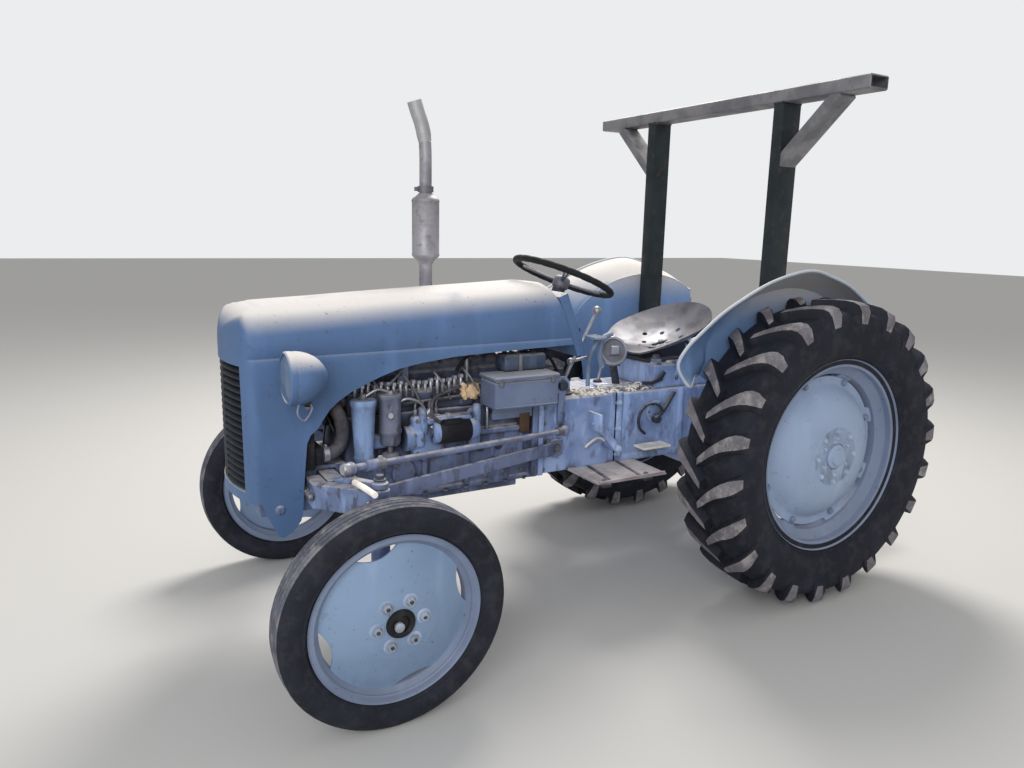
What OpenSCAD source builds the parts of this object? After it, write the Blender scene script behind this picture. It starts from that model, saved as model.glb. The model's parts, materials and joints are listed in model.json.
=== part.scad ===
/* [Wheels] */
// Distance between front and rear axle centres
wheelbase = 1778; // [1700:1:1900]
// Distance between the middles of the rear tyres
rear_track = 1219; // [1200:1:1320]
// Distance between the middles of the front tyres
front_track = 1321; // [1300:1:1420]
// Radius of the rear tyres to the tips of the lugs
rear_tyre_r = 600; // [585:1:615]
// Width of the rear tyres
rear_tyre_w = 284; // [260:1:300]
// Radius of the rear rims at their bead seats
rear_seat_r = 356; // [345:1:365]
// Overall width of the rear rims
rear_rim_w = 220; // [200:1:230]
// Radius of the front tyres
front_tyre_r = 344; // [335:1:355]
// Width of the front tyres
front_tyre_w = 118; // [108:1:124]
// Radius of the front rims at their bead seats
front_seat_r = 241; // [235:1:247]
// Overall width of the front rims
front_rim_w = 88; // [80:1:92]
// Outward lean of the front wheels in degrees
camber = 2; // [0:0.5:3]

/* [Steering] */
// How far inboard of the middle of the front tyres the kingpins stand
kingpin_in = 100.5; // [90:0.5:115]
// Radius of the kingpins
kingpin_r = 17; // [14:0.5:20]
// Radius of the front stub axles
stub_r = 20; // [17:0.5:23]
// How far inboard of the kingpin the steering arm's ball sits
arm_in = 90; // [80:1:100]
// How far ahead of the kingpin the steering arm's ball sits
arm_ahead = 60; // [50:1:70]
// Height of the front ball of the drag link
link_front_z = 732; // [724:1:742]
// Length of the drop arms between their centres
drop_arm_len = 170; // [150:1:180]
// Height of the rear ball of the drag link
link_rear_z = 691; // [680:1:700]
// Height of the middle of the steering wheel
wheel_z = 1250; // [1235:1:1270]
// Distance of the steering wheel ahead of the rear axle
wheel_y = 807; // [795:1:815]
// Radius of the steering wheel
wheel_r = 213; // [195:1:218]
// Lean of the steering column in degrees
column_lean = 22; // [20:0.5:24]

/* [Hood] */
// Half width of the hood
hood_half = 216; // [210:1:219]
// Wall of the hood
hood_wall = 4; // [3:0.5:6]
// Height of the hood's side at the front
shoulder_z = 1132; // [1125:1:1145]
// Rise of the hood's crown above its sides
crown_rise = 58; // [40:1:70]
// Upward slope of the hood towards the rear in degrees
hood_slope = 3; // [2:0.25:3.5]
// How far the nose reaches ahead of the front axle
nose_reach = 336; // [330:1:342]
// How far the middle of the nose bulges forward
nose_bulge = 48; // [40:1:55]
// Height of the hood's hinge bolts
hinge_z = 541; // [535:1:545]
// Radius of the hood's hinge bolts
hinge_r = 8; // [6:0.5:10]

/* [Chassis] */
// Half width of the engine block
block_half = 140; // [130:1:145]
// Height of the underside of the engine
sump_z = 458; // [450:1:470]
// Height of the joint between block and head
deck_z = 800; // [790:1:805]
// Half width of the gear housing
housing_half = 150; // [146:1:155]
// Height of the top of the gear housing
housing_z = 790; // [780:1:795]
// Height of the underside of the gear housing
housing_low = 500; // [480:1:510]

/* [Rear] */
// Length of the lower links
lower_link_len = 800; // [760:5:820]
// Length of the lift arms
lift_arm_len = 290; // [270:1:300]
// Gap between the roll bar's posts and the fenders
post_gap = 36.5; // [30:0.5:45]
// Overall width of the roll bar
bar_span = 1545; // [1500:5:1560]
// Height of the top of the roll bar
bar_z = 1978; // [1900:1:2000]
// Depth of the roll bar's tube
bar_depth = 98; // [80:1:100]
// Height and width of the roll bar's tube
bar_w = 50; // [40:1:55]

/* [Hidden] */
$fn = 48;

// Radial play between a turning pin and its bore
running = 0.05;
// Gap between pieces that only rest against each other
seat_gap = 0.3;
// Play beside pieces that turn on a pin
side_gap = 0.5;

// Droop of the lower links at rest, the place of their front pins and the size of their eyes
link_drop = 10;
link_pivot_ahead = 20;
link_eye_r = 28;

// Everything below is drawn with Y = 0 on the rear axle and moved by this at the end,
// so that the origin lies under the middle of the whole length
rear_reach = lower_link_len * cos(link_drop) - link_pivot_ahead + link_eye_r;
rear_axle_y = (wheelbase + front_tyre_r - rear_reach) / 2;

front_y = -wheelbase;
kingpin_x = front_track / 2 - kingpin_in;
paint = "LightSlateGray";
iron = "SlateGray";
rubber = "DimGray";
steel = "Silver";
dark = "DarkSlateGray";

// Helpers

// A box from one point to another, w wide and h high
module bar(p0, p1, w, h) {
    d = p1 - p0;
    flat = norm([d[0], d[1]]);
    translate(p0)
        rotate([0, -atan2(d[2], flat), atan2(d[1], d[0])])
            translate([0, -w / 2, -h / 2])
                cube([norm(d), w, h]);
}

// A round rod from one point to another
module rod(p0, p1, r) {
    d = p1 - p0;
    flat = norm([d[0], d[1]]);
    translate(p0)
        rotate([0, 90 - atan2(d[2], flat), atan2(d[1], d[0])])
            cylinder(r = r, h = norm(d));
}

// A round bar along X from x0 to x1
module across(x0, x1, y, z, r) {
    translate([x0, y, z])
        rotate([0, 90, 0])
            cylinder(r = r, h = x1 - x0);
}

// A box given by its low and high corners
module block(lo, hi) {
    translate(lo)
        cube(hi - lo);
}

module both_sides() {
    children();
    mirror([1, 0, 0])
        children();
}

// Turns a profile of [radius, x] points into a ring round the X axis
module ring(points, sides = 96) {
    rotate([0, 90, 0])
        rotate_extrude($fn = sides)
            polygon(points);
}

// Places something in the left front wheel's own frame, X outward along the stub axle
module on_front_wheel() {
    translate([front_track / 2, front_y, front_hub_z])
        rotate([0, camber, 0])
            children();
}

module on_rear_wheel() {
    translate([rear_track / 2, 0, rear_tyre_r])
        children();
}

// Tyre sections

function mirrored(half) = concat(half, [for (i = [len(half) - 1 : -1 : 0]) [half[i][0], -half[i][1]]]);

// Half section of the front tyre from the bead to the crown
function front_half(seat, outer, bead, flange, side, tread, shoulder) = [
    [seat + seat_gap, bead],
    [flange + seat_gap, bead + seat_gap],
    [flange + 0.22 * (outer - flange), side - 4],
    [flange + 0.42 * (outer - flange), side],
    [outer - 1.7 * shoulder, tread + 0.55 * (side - tread)],
    [outer - shoulder, tread],
    [outer, 0.2 * tread]
];

// Half section of the rear tyre without its lugs
function rear_half(seat, crown, bead, flange, side) = [
    [seat + seat_gap, bead],
    [flange + seat_gap, bead + seat_gap],
    [flange + 48, side - 4],
    [crown - 56, side - 2],
    [crown - 16, side - 24],
    [crown, side - 92]
];

rear_flange_h = 24;
front_flange_h = 18;
flange_t = 6;
lug_h = 32;
rear_section = mirrored(rear_half(rear_seat_r, rear_tyre_r - lug_h, rear_rim_w / 2 - flange_t - 2,
    rear_seat_r + rear_flange_h, rear_tyre_w / 2));
front_section = mirrored(front_half(front_seat_r, front_tyre_r, front_rim_w / 2 - flange_t - 2,
    front_seat_r + front_flange_h, front_tyre_w / 2, front_tyre_w / 2 - 16, 12));

// The leaning front tyre touches the ground at the lowest point of its section
front_hub_z = max([for (p = front_section) p[0] * cos(camber) + abs(p[1]) * sin(camber)]);
stub_z = front_hub_z + (front_track / 2 - kingpin_x) * tan(camber);

tyre_sides = 28;
lugs_a_side = 22;
lug_w = 34;
lug_lean = 38;
lug_len = 0.62 * rear_tyre_w;
lug_top = rear_tyre_r - 4;

// One bar of the tread at the top of the tyre, from its middle out over the shoulder
module lug() {
    past_middle = 8;
    lead = lug_len * sin(lug_lean) / 2;
    foot = lug_top - lug_h - 18;
    translate([-past_middle, -lead, 0])
        rotate([90, 0, lug_lean])
            translate([0, 0, -lug_w / 2])
                linear_extrude(lug_w)
                    polygon([
                        [0, foot], [0, lug_top], [lug_len - 16, lug_top], [lug_len, lug_top - 34],
                        [lug_len, foot - 26]
                    ]);
}

module rear_tyre() {
    pitch = 360 / lugs_a_side;
    color(rubber)
        on_rear_wheel() {
            ring(rear_section, tyre_sides);
            for (i = [0 : lugs_a_side - 1]) {
                rotate([i * pitch, 0, 0])
                    lug();
                rotate([(i + 0.5) * pitch, 0, 0])
                    mirror([1, 0, 0])
                        lug();
            }
        }
}

module front_tyre() {
    color(rubber)
        on_front_wheel()
            ring(front_section, tyre_sides);
}

// A pressed rim: flanges, bead seats and a drop well
module rim(seat, flange_h, w, well_depth, well_half, sheet) {
    edge = w / 2;
    outer = [
        [seat + flange_h, edge],
        [seat + flange_h, edge - flange_t],
        [seat, edge - flange_t],
        [seat, well_half + well_depth / 2],
        [seat - well_depth, well_half]
    ];
    inner = [
        [seat - well_depth - sheet, -well_half - sheet / 2],
        [seat - sheet, -well_half - well_depth / 2 - sheet],
        [seat - sheet, -edge]
    ];
    ring(concat(mirrored(outer), mirrored(reversed(inner))));
}

rear_well = 34;
rear_sheet = 8;
disc_edge_r = 302;
disc_seat_x = 20;
disc_face_x = 102;
disc_t = 8;
rim_lugs = 6;
drum_r = 178;
drum_in = 30;
drum_out = 60;
axle_shaft_r = 32;
axle_shaft_len = 80;
hub_r = 125;

module rear_rim() {
    lug_w = 70;
    lug_in = 30;
    lug_deep = disc_edge_r - 32;
    color(paint)
        on_rear_wheel() {
            rim(rear_seat_r, rear_flange_h, rear_rim_w, rear_well, 48, rear_sheet);
            for (i = [0 : rim_lugs - 1])
                rotate([i * 360 / rim_lugs, 0, 0])
                    block([disc_seat_x - lug_in, -lug_w / 2, lug_deep],
                        [disc_seat_x, lug_w / 2, rear_seat_r - rear_well - rear_sheet / 2]);
        }
}

module rear_disc() {
    bolts = 8;
    bolt_ring = 101;
    cap_r = 46;
    color(paint)
        on_rear_wheel() {
            ring([
                [0, disc_face_x], [0, disc_face_x + disc_t], [150, disc_face_x + disc_t],
                [200, disc_face_x - 6], [262, disc_seat_x + 26], [276, disc_seat_x + disc_t],
                [disc_edge_r, disc_seat_x + disc_t], [disc_edge_r, disc_seat_x], [270, disc_seat_x],
                [256, disc_seat_x + 18], [194, disc_face_x - 14], [146, disc_face_x]
            ]);
            across(drum_out, disc_face_x, 0, 0, hub_r);
            across(-drum_in, drum_out, 0, 0, drum_r);
            across(-drum_in - axle_shaft_len, -drum_in, 0, 0, axle_shaft_r);
            across(disc_face_x + disc_t, disc_face_x + disc_t + 22, 0, 0, cap_r);
            for (i = [0 : bolts - 1])
                rotate([i * 360 / bolts, 0, 0])
                    across(disc_face_x + disc_t, disc_face_x + disc_t + 16, 0, bolt_ring, 13);
        }
}

front_well = 14;
front_sheet = 5;
front_face_x = front_rim_w / 2 + 13;
front_disc_t = 6;
front_hub_r = 48;
front_hub_in = 42;

module front_rim() {
    cuts = 4;
    cut_r = 90;
    cut_off = 55;
    nuts = 6;
    nut_ring = 72;
    well_r = front_seat_r - front_well - front_sheet;
    color(paint)
        on_front_wheel() {
            rim(front_seat_r, front_flange_h, front_rim_w, front_well, 16, front_sheet);
            difference() {
                ring([
                    [40, front_face_x - front_disc_t], [40, front_face_x], [98, front_face_x],
                    [120, front_face_x - 5], [205, 22], [well_r + 1, 16],
                    [well_r + 1, 16 - front_disc_t], [200, 16], [116, front_face_x - 5 - front_disc_t],
                    [94, front_face_x - front_disc_t]
                ]);
                for (i = [0 : cuts - 1])
                    rotate([45 + i * 360 / cuts, 0, 0])
                        across(0, 60, 0, well_r + cut_off, cut_r);
            }
            difference() {
                union() {
                    across(-front_hub_in, front_face_x - front_disc_t, 0, 0, front_hub_r);
                    across(front_face_x - front_disc_t - 12, front_face_x - front_disc_t, 0, 0, 92);
                    across(front_face_x - front_disc_t, front_face_x + 10, 0, 0, 38);
                }
                across(-front_hub_in - 1, front_face_x - 8, 0, 0, stub_r + running);
            }
            for (i = [0 : nuts - 1])
                rotate([i * 360 / nuts, 0, 0])
                    across(front_face_x - 1, front_face_x + 13, 0, nut_ring, 11);
        }
}

// Front axle and steering

boss_low = 590;
boss_high = 690;
boss_r = 30;
arm_hub_r = 26;
arm_t = 18;
ball_r = 20;
ball_stud_r = 8;

arm_front = front_y - 120;
arm_box_w = 52;
beam_front = arm_front + arm_box_w;
beam_back = beam_front + 56;
beam_low = 540;
beam_high = 632;
beam_half = 262;
arm_box_h = 80;
arm_inner = 170;
support_front = front_y - 262;
pivot_z = 586;
pivot_r = 16;
pivot_end = beam_back + 24;

module front_axle_beam() {
    color(iron)
        difference() {
            block([-beam_half, beam_front, beam_low], [beam_half, beam_back, beam_high]);
            translate([0, beam_front - 1, pivot_z])
                rotate([-90, 0, 0])
                    cylinder(r = pivot_r + running, h = beam_back - beam_front + 2);
        }
}

module axle_arm() {
    mid_z = (beam_low + beam_high) / 2;
    elbow = [beam_half, arm_front + arm_box_w / 2, mid_z];
    foot = [kingpin_x - boss_r + 8, front_y - 4, (boss_low + boss_high) / 2];
    difference() {
        union() {
            block([arm_inner, arm_front, beam_low + 4], [elbow[0], beam_front, beam_high - 4]);
            bar(elbow - [12, 0, 0], foot, arm_box_w, arm_box_h);
            translate([kingpin_x, front_y, boss_low])
                cylinder(r = boss_r, h = boss_high - boss_low);
        }
        translate([kingpin_x, front_y, boss_low - 1])
            cylinder(r = kingpin_r + running, h = boss_high - boss_low + 2);
        block([arm_inner - 10, beam_front, beam_low - 40], [beam_half, beam_back + 40, beam_high + 60]);
    }
}

module axle_arms() {
    color(iron)
        both_sides()
            axle_arm();
}

rod_rear = [housing_half + 16, -925, 603];
rod_front = [kingpin_x - 78, front_y + 10, 642];

module radius_rods() {
    color(iron)
        both_sides() {
            difference() {
                bar(rod_rear, rod_front, 14, 46);
                axle_arm();
            }
            block([housing_half, rod_rear[1] - 34, rod_rear[2] - 30],
                [housing_half + 17, rod_rear[1] + 34, rod_rear[2] + 30]);
        }
}

module knuckle() {
    color(iron) {
        translate([kingpin_x, front_y, stub_z - 40])
            cylinder(r = kingpin_r, h = boss_high + arm_t + 12 - stub_z + 40);
        translate([kingpin_x, front_y, stub_z - 46])
            cylinder(r = boss_r - 2, h = boss_low - side_gap - stub_z + 46);
        translate([kingpin_x, front_y, boss_high + side_gap])
            cylinder(r = arm_hub_r, h = arm_t);
        on_front_wheel() {
            across(kingpin_x - front_track / 2 - 9, -front_hub_in - side_gap, 0, 0, 33);
            across(-front_hub_in - side_gap, front_face_x - 10, 0, 0, stub_r);
        }
        difference() {
            union() {
                bar([kingpin_x, front_y, boss_high + side_gap + arm_t / 2],
                    [kingpin_x - arm_in, front_y - arm_ahead, boss_high + side_gap + arm_t / 2], 26, arm_t - 4);
                translate([kingpin_x - arm_in, front_y - arm_ahead, boss_high + side_gap])
                    cylinder(r = 19.5, h = arm_t);
            }
            translate([kingpin_x - arm_in, front_y - arm_ahead, boss_high - 5])
                cylinder(r = ball_stud_r + running, h = arm_t + 20);
        }
    }
}

ball_front = [kingpin_x - arm_in, front_y - arm_ahead, link_front_z];
drop_x = 210;
drop_t = 14;
drop_y = -934;
drop_z = link_rear_z + drop_arm_len;
ball_rear = [drop_x + drop_t / 2 + 24, drop_y, link_rear_z];

module drag_link() {
    clamp0 = ball_front + (ball_rear - ball_front) * 0.06;
    clamp1 = ball_front + (ball_rear - ball_front) * 0.12;
    color(steel) {
        rod(ball_front, ball_rear, 11);
        rod(clamp0, clamp1, 17);
        for (b = [ball_front, ball_rear])
            translate(b)
                sphere(r = ball_r);
        translate([ball_front[0], ball_front[1], boss_high + side_gap - 4])
            cylinder(r = ball_stud_r, h = link_front_z - boss_high);
        across(drop_x + drop_t / 2 + seat_gap, ball_rear[0], ball_rear[1], ball_rear[2], ball_stud_r);
    }
}

rocker_r = 19;

module drop_arm() {
    color(iron)
        difference() {
            union() {
                across(drop_x - drop_t / 2, drop_x + drop_t / 2, drop_y, drop_z, 34);
                across(drop_x - drop_t / 2, drop_x + drop_t / 2, drop_y, link_rear_z, 22);
                block([drop_x - drop_t / 2, drop_y - 15, link_rear_z], [drop_x + drop_t / 2, drop_y + 15, drop_z]);
            }
            across(drop_x - drop_t, drop_x + drop_t, drop_y, drop_z, rocker_r + running);
        }
}

// Steering box, column and wheel

box_half = 112;
box_front = -1000;
box_back = -860;
box_top = 905;
column_r = 26;
wheel_shaft_r = 11;
wheel_pos = [0, -wheel_y, wheel_z];
column_dir = [0, sin(column_lean), cos(column_lean)];
column_top = 45;
column_foot = (wheel_z - box_top + 40) / cos(column_lean);

module steering_column() {
    color(iron) {
        block([-box_half, box_front, housing_z], [box_half, box_back, box_top]);
        both_sides() {
            across(box_half - 1, drop_x - drop_t / 2 - side_gap, drop_y, drop_z, 30);
            across(drop_x - drop_t / 2 - side_gap - 1, drop_x + drop_t / 2 + 14, drop_y, drop_z, rocker_r);
        }
        difference() {
            rod(wheel_pos - column_dir * column_foot, wheel_pos - column_dir * column_top, column_r);
            rod(wheel_pos - column_dir * (column_top + 60), wheel_pos, wheel_shaft_r + running);
        }
    }
}

module steering_wheel() {
    rim_r = 14;
    color(dark)
        translate(wheel_pos)
            rotate([-column_lean, 0, 0]) {
                rotate_extrude($fn = 96)
                    translate([wheel_r - rim_r, 0])
                        circle(r = rim_r, $fn = 32);
                for (i = [0 : 2])
                    rotate([0, 0, 90 + i * 120])
                        rod([0, 0, -20], [wheel_r - rim_r, 0, 0], 8);
                translate([0, 0, -column_top + side_gap])
                    cylinder(r = 34, h = column_top + 10);
                translate([0, 0, -column_top - 50])
                    cylinder(r = wheel_shaft_r, h = 60);
            }
}

// Engine

engine_front = front_y + 28;
engine_back = -1005;
head_top = 880;

module engine_block() {
    color(iron) {
        block([-block_half, engine_front, 500], [block_half, engine_back, deck_z]);
        block([-block_half + 25, engine_front + 60, sump_z], [block_half - 25, engine_back - 60, 500]);
        block([-170, engine_back - 26, 500], [170, engine_back, deck_z]);
    }
}

module cylinder_head() {
    color(iron) {
        block([-block_half + 15, engine_front + 10, deck_z], [block_half - 5, engine_back - 30, head_top]);
        block([-32, engine_front + 10, head_top - 1], [32, engine_front + 50, head_top + 72]);
        difference() {
            union() {
                block([-60, engine_front + 60, head_top], [75, engine_back - 110, head_top + 45]);
                translate([7.5, engine_front + 60, head_top + 30])
                    rotate([-90, 0, 0])
                        cylinder(r = 58, h = engine_back - 110 - engine_front - 60);
            }
            block([-90, engine_front, head_top - 60], [100, engine_back, head_top]);
        }
    }
}

filter_low = 633;
filter_r = 44;
filter_len = 237;
bowl_low = 700;
bowl_r = 40;
bowl_len = 180;

module injection_pump() {
    side = block_half;
    color(paint) {
        translate([side + filter_r, engine_front + 50, filter_low])
            cylinder(r1 = 30, r2 = filter_r, h = filter_len);
        translate([side + bowl_r, engine_front + 145, bowl_low])
            cylinder(r = bowl_r, h = bowl_len);
        block([side, engine_front + 30, bowl_low - 10], [side + filter_r, engine_front + 180, bowl_low + 40]);
        block([side, engine_front + 230, filter_low + 7], [side + 60, engine_front + 280, deck_z]);
    }
}

starter_r = 44;
starter_front = -1455;
starter_z = 730;
starter_len = 180;
dynamo_r = 50;
dynamo_front = -1250;
dynamo_z = 725;
dynamo_len = 215;
seat_half = 30;

// A motor lying on the block with the pad that it is bolted to
module motor(x, front, z, r, length) {
    translate([block_half + x, front, z])
        rotate([-90, 0, 0])
            cylinder(r = r, h = length);
    block([block_half, front + 35, z - seat_half], [block_half + x - 18, front + 145, z + seat_half]);
}

module starter_motor() {
    color(dark) {
        motor(starter_r + 4, starter_front, starter_z, starter_r, starter_len);
        mirror([1, 0, 0])
            motor(dynamo_r + 2, dynamo_front, dynamo_z, dynamo_r, dynamo_len);
    }
}

stack_x = -277;
stack_y = -1280;
stack_pipe_r = 27;
muffler_r = 55;
muffler_low = 1315;
muffler_high = 1545;
pipe_top = 1800;

module manifold() {
    color(iron) {
        block([-block_half - 55, engine_front + 60, 815], [-block_half + 15, stack_y + 40, 870]);
        across(-block_half - 70, -block_half - 50, stack_y, 842, 36);
    }
}

module exhaust_stack() {
    flange_x = -block_half - 70;
    color(steel) {
        across(flange_x - 8, flange_x, stack_y, 842, 36);
        across(stack_x, flange_x, stack_y, 842, stack_pipe_r);
        translate([stack_x, stack_y, 842])
            sphere(r = stack_pipe_r);
        translate([stack_x, stack_y, 842])
            cylinder(r = stack_pipe_r, h = pipe_top - 842);
        translate([stack_x, stack_y, muffler_low])
            cylinder(r = muffler_r, h = muffler_high - muffler_low);
        rod([stack_x, stack_y, pipe_top - 10], [stack_x, stack_y - 45, pipe_top + 100], stack_pipe_r + 2);
    }
}

// Cooling and front support

rad_front = front_y - 157;
rad_back = front_y - 87;
rad_half = 190;
rad_low = 650;
rad_high = 1030;

module front_support() {
    boss_t = 16;
    slot = 4;
    ear = 22;
    ear_x = hood_half - hood_wall - seat_gap;
    color(iron) {
        difference() {
            union() {
                block([-150, support_front, 500], [150, engine_front, rad_low]);
                translate([0, support_front - boss_t, pivot_z])
                    rotate([-90, 0, 0])
                        cylinder(r = 40, h = boss_t + 1);
            }
            block([-151, beam_front - slot, 400], [151, beam_back + slot, beam_high + slot]);
        }
        translate([0, support_front, pivot_z])
            rotate([-90, 0, 0])
                cylinder(r = pivot_r, h = pivot_end - support_front);
        both_sides() {
            block([149, hinge_y - ear, hinge_z - ear], [ear_x, hinge_y + ear, hinge_z + ear]);
            across(ear_x - 1, hood_half + 2, hinge_y, hinge_z, hinge_r);
            across(hood_half + seat_gap, hood_half + 8, hinge_y, hinge_z, hinge_r + 7);
        }
    }
}

module radiator() {
    color(dark) {
        block([-rad_half, rad_front, rad_low], [rad_half, rad_back, rad_high]);
        block([-rad_half + 10, rad_back, rad_low + 10], [rad_half - 10, rad_back + 30, rad_low + 70]);
        block([-120, rad_back, rad_high - 80], [120, rad_back + 40, rad_high]);
    }
}

fan_y = engine_front - 34;
fan_z = 780;
fan_r = 115;

module fan() {
    color(iron) {
        translate([0, fan_y, fan_z])
            rotate([-90, 0, 0])
                cylinder(r = 34, h = engine_front - fan_y);
        for (i = [0 : 3])
            translate([0, fan_y + 12, fan_z])
                rotate([0, 25 + i * 90, 0])
                    rotate([0, 0, 20])
                        block([-28, -2, 20], [28, 2, fan_r]);
    }
}

// A hose of a given radius through a list of points, swollen a little at its bends
module hose(points, r) {
    for (i = [1 : len(points) - 1])
        rod(points[i - 1], points[i], r);
    for (i = [1 : len(points) - 2])
        translate(points[i])
            sphere(r = r + 2);
}

lower_tank_back = rad_back + 30;
upper_tank_back = rad_back + 40;
hose_r = 24;
head_front = engine_front + 10;

module coolant_hoses() {
    color(rubber) {
        hose([[155, lower_tank_back, 690], [155, lower_tank_back + 45, 690], [155, head_front - 38, 852],
            [108, head_front - 38, 852], [108, head_front, 852]], hose_r);
        hose([[0, upper_tank_back, 995], [0, upper_tank_back + 28, 995], [0, head_front - 36, 925],
            [0, head_front, 925]], hose_r);
    }
}

// Housings

module clutch_housing() {
    color(iron) {
        block([-housing_half, engine_back, housing_low], [housing_half, seam_y, housing_z]);
        block([-170, engine_back, housing_low], [170, engine_back + 26, housing_z]);
    }
}

seam_y = -610;
rear_end = 170;
rear_low = 440;
cover_top = 890;
pto_z = 560;
pto_r = 17.4;
pto_len = 80;
top_pin_r = 9.65;
top_pin_y = rear_end + 36;
top_pin_z = 760;
top_gap = 52;
top_ear = 12;

module rear_housing() {
    color(iron) {
        block([-housing_half - 6, seam_y, housing_low], [housing_half + 6, rear_end - 60, housing_z]);
        block([-housing_half + 10, -240, rear_low], [housing_half - 10, rear_end, housing_z]);
        translate([0, rear_end, pto_z])
            rotate([-90, 0, 0]) {
                cylinder(r = 60, h = 12);
                cylinder(r = pto_r, h = 12 + pto_len);
            }
        // The two ears that take the top link's pin
        both_sides()
            difference() {
                union() {
                    block([top_gap / 2, rear_end - 1, top_pin_z - 28],
                        [top_gap / 2 + top_ear, top_pin_y, top_pin_z + 28]);
                    across(top_gap / 2, top_gap / 2 + top_ear, top_pin_y, top_pin_z, 28);
                }
                across(0, 100, top_pin_y, top_pin_z, top_pin_r);
            }
    }
}

lift_y = 70;
lift_z = 900;
lift_shaft_r = 22;

module lift_cover() {
    color(iron)
        difference() {
            union() {
                block([-140, -430, housing_z], [140, rear_end - 4, cover_top]);
                block([-110, lift_y - 55, housing_z], [110, lift_y + 55, lift_z + 45]);
            }
            across(-200, 200, lift_y, lift_z, lift_shaft_r + running);
        }
}

trumpet_in = housing_half + 6;
trumpet_end = rear_track / 2 - drum_in - 11;
backplate_t = 5;

module trumpet_form(grow) {
    translate([trumpet_in, 0, rear_tyre_r])
        rotate([0, 90, 0])
            cylinder(r1 = 104 + grow, r2 = 74 + grow, h = trumpet_end - trumpet_in);
}

module axle_trumpets() {
    color(iron)
        both_sides()
            difference() {
                union() {
                    trumpet_form(0);
                    across(trumpet_in, trumpet_in + 16, 0, rear_tyre_r, 122);
                    across(trumpet_end, trumpet_end + backplate_t, 0, rear_tyre_r, drum_r - 8);
                }
                across(trumpet_end - axle_shaft_len, trumpet_end + 20, 0, rear_tyre_r, axle_shaft_r + running);
            }
}

// Linkage: lift arm, rod and lower link make a parallelogram, so they stay in step

link_pivot = [190, -link_pivot_ahead, 410];
link_dir = [0, cos(link_drop), -sin(link_drop)];
arm_x = 165;
arm_plate = 18;
rod_top = [arm_x + arm_plate / 2 + 2, lift_y, lift_z] + link_dir * lift_arm_len;
splay = 130;
rod_share = lift_arm_len / lower_link_len;
rod_foot = link_pivot + link_dir * lift_arm_len + [splay * rod_share, 0, 0];
link_pin_r = 11;
link_bar_w = 16;
link_bar_h = 50;
splay_gap = 7;
rod_eye_half = 12.5;

module lift_arms() {
    color(iron) {
        across(-arm_x - arm_plate / 2 - 8, arm_x + arm_plate / 2 + 8, lift_y, lift_z, lift_shaft_r);
        both_sides() {
            across(arm_x - arm_plate / 2 - 2, arm_x + arm_plate / 2 + 2, lift_y, lift_z, 42);
            translate([arm_x, lift_y, lift_z])
                rotate([-link_drop, 0, 0])
                    block([-arm_plate / 2, 0, -20], [arm_plate / 2, lift_arm_len, 20]);
            across(arm_x - arm_plate / 2 - 2, rod_top[0], rod_top[1], rod_top[2], 26);
            across(arm_x, rod_top[0] + 2 * rod_eye_half + 6, rod_top[1], rod_top[2], link_pin_r);
        }
    }
}

module lift_rod() {
    top = [rod_top[0] + side_gap + rod_eye_half, rod_top[1], rod_top[2]];
    foot = [rod_foot[0] - link_bar_w / 2 - splay_gap - rod_eye_half, rod_foot[1], rod_foot[2]];
    color(iron)
        difference() {
            union() {
                for (p = [top, foot])
                    across(p[0] - rod_eye_half, p[0] + rod_eye_half, p[1], p[2], 24);
                rod(top, foot, 11);
            }
            for (p = [top, foot])
                across(p[0] - 40, p[0] + 40, p[1], p[2], link_pin_r + running);
        }
}

link_end = link_pivot + link_dir * lower_link_len + [splay, 0, 0];
link_ball_r = 11.2;

module lower_link() {
    color(iron)
        difference() {
            union() {
                bar(link_pivot, link_end, link_bar_w, link_bar_h);
                for (p = [link_pivot, link_end])
                    across(p[0] - 15, p[0] + 15, p[1], p[2], link_eye_r);
                across(rod_foot[0] - link_bar_w / 2 - splay_gap - 2 * rod_eye_half - 6, rod_foot[0],
                    rod_foot[1], rod_foot[2], link_pin_r);
            }
            across(link_pivot[0] - 40, link_pivot[0] + 40, link_pivot[1], link_pivot[2], link_pin_r + running);
            across(link_end[0] - 40, link_end[0] + 40, link_end[1], link_end[2], link_ball_r);
        }
}

// Hood

hinge_y = front_y - 211;
nose_y = front_y - nose_reach;
hood_cut_z = 1017;
hood_cut_y = -890;
nose_top_z = 1021;
hood_low = 445;

// Side view of the solid inside the hood's skin: the front, the round top of the nose and the slope
module hood_side(inset) {
    bend = 105;
    top = shoulder_z + crown_rise - 12 - inset;
    polygon(concat(
        [[hood_cut_y + 200, hood_low - 1], [nose_y + inset + 18, hood_low - 1], [nose_y + inset, nose_top_z - 90]],
        [for (i = [0 : 6]) [
            nose_y + inset + bend - bend * cos(i * 14),
            top - bend + bend * sin(i * 14)
        ]],
        [[hood_cut_y + 200, top + (hood_cut_y + 200 - nose_y) * tan(hood_slope)]]
    ));
}

module hood_form(inset) {
    half = hood_half - inset;
    crown_r = (pow(hood_half, 2) + pow(crown_rise, 2)) / (2 * crown_rise);
    bulge_r = (pow(hood_half, 2) + pow(nose_bulge, 2)) / (2 * nose_bulge);
    intersection() {
        translate([-400, 0, 0])
            rotate([90, 0, 90])
                linear_extrude(800)
                    hood_side(inset);
        block([-half, nose_y - 10, hood_low - 10], [half, 0, 1400]);
        translate([0, nose_y, shoulder_z + crown_rise - crown_r - inset])
            rotate([-90 + hood_slope, 0, 0])
                cylinder(r = crown_r, h = 1500, $fn = 96);
        translate([0, nose_y + inset + bulge_r, hood_low - 10])
            union() {
                cylinder(r = bulge_r, h = 1200, $fn = 96);
                block([-half, 0, 0], [half, 1500, 1200]);
            }
    }
}

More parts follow.
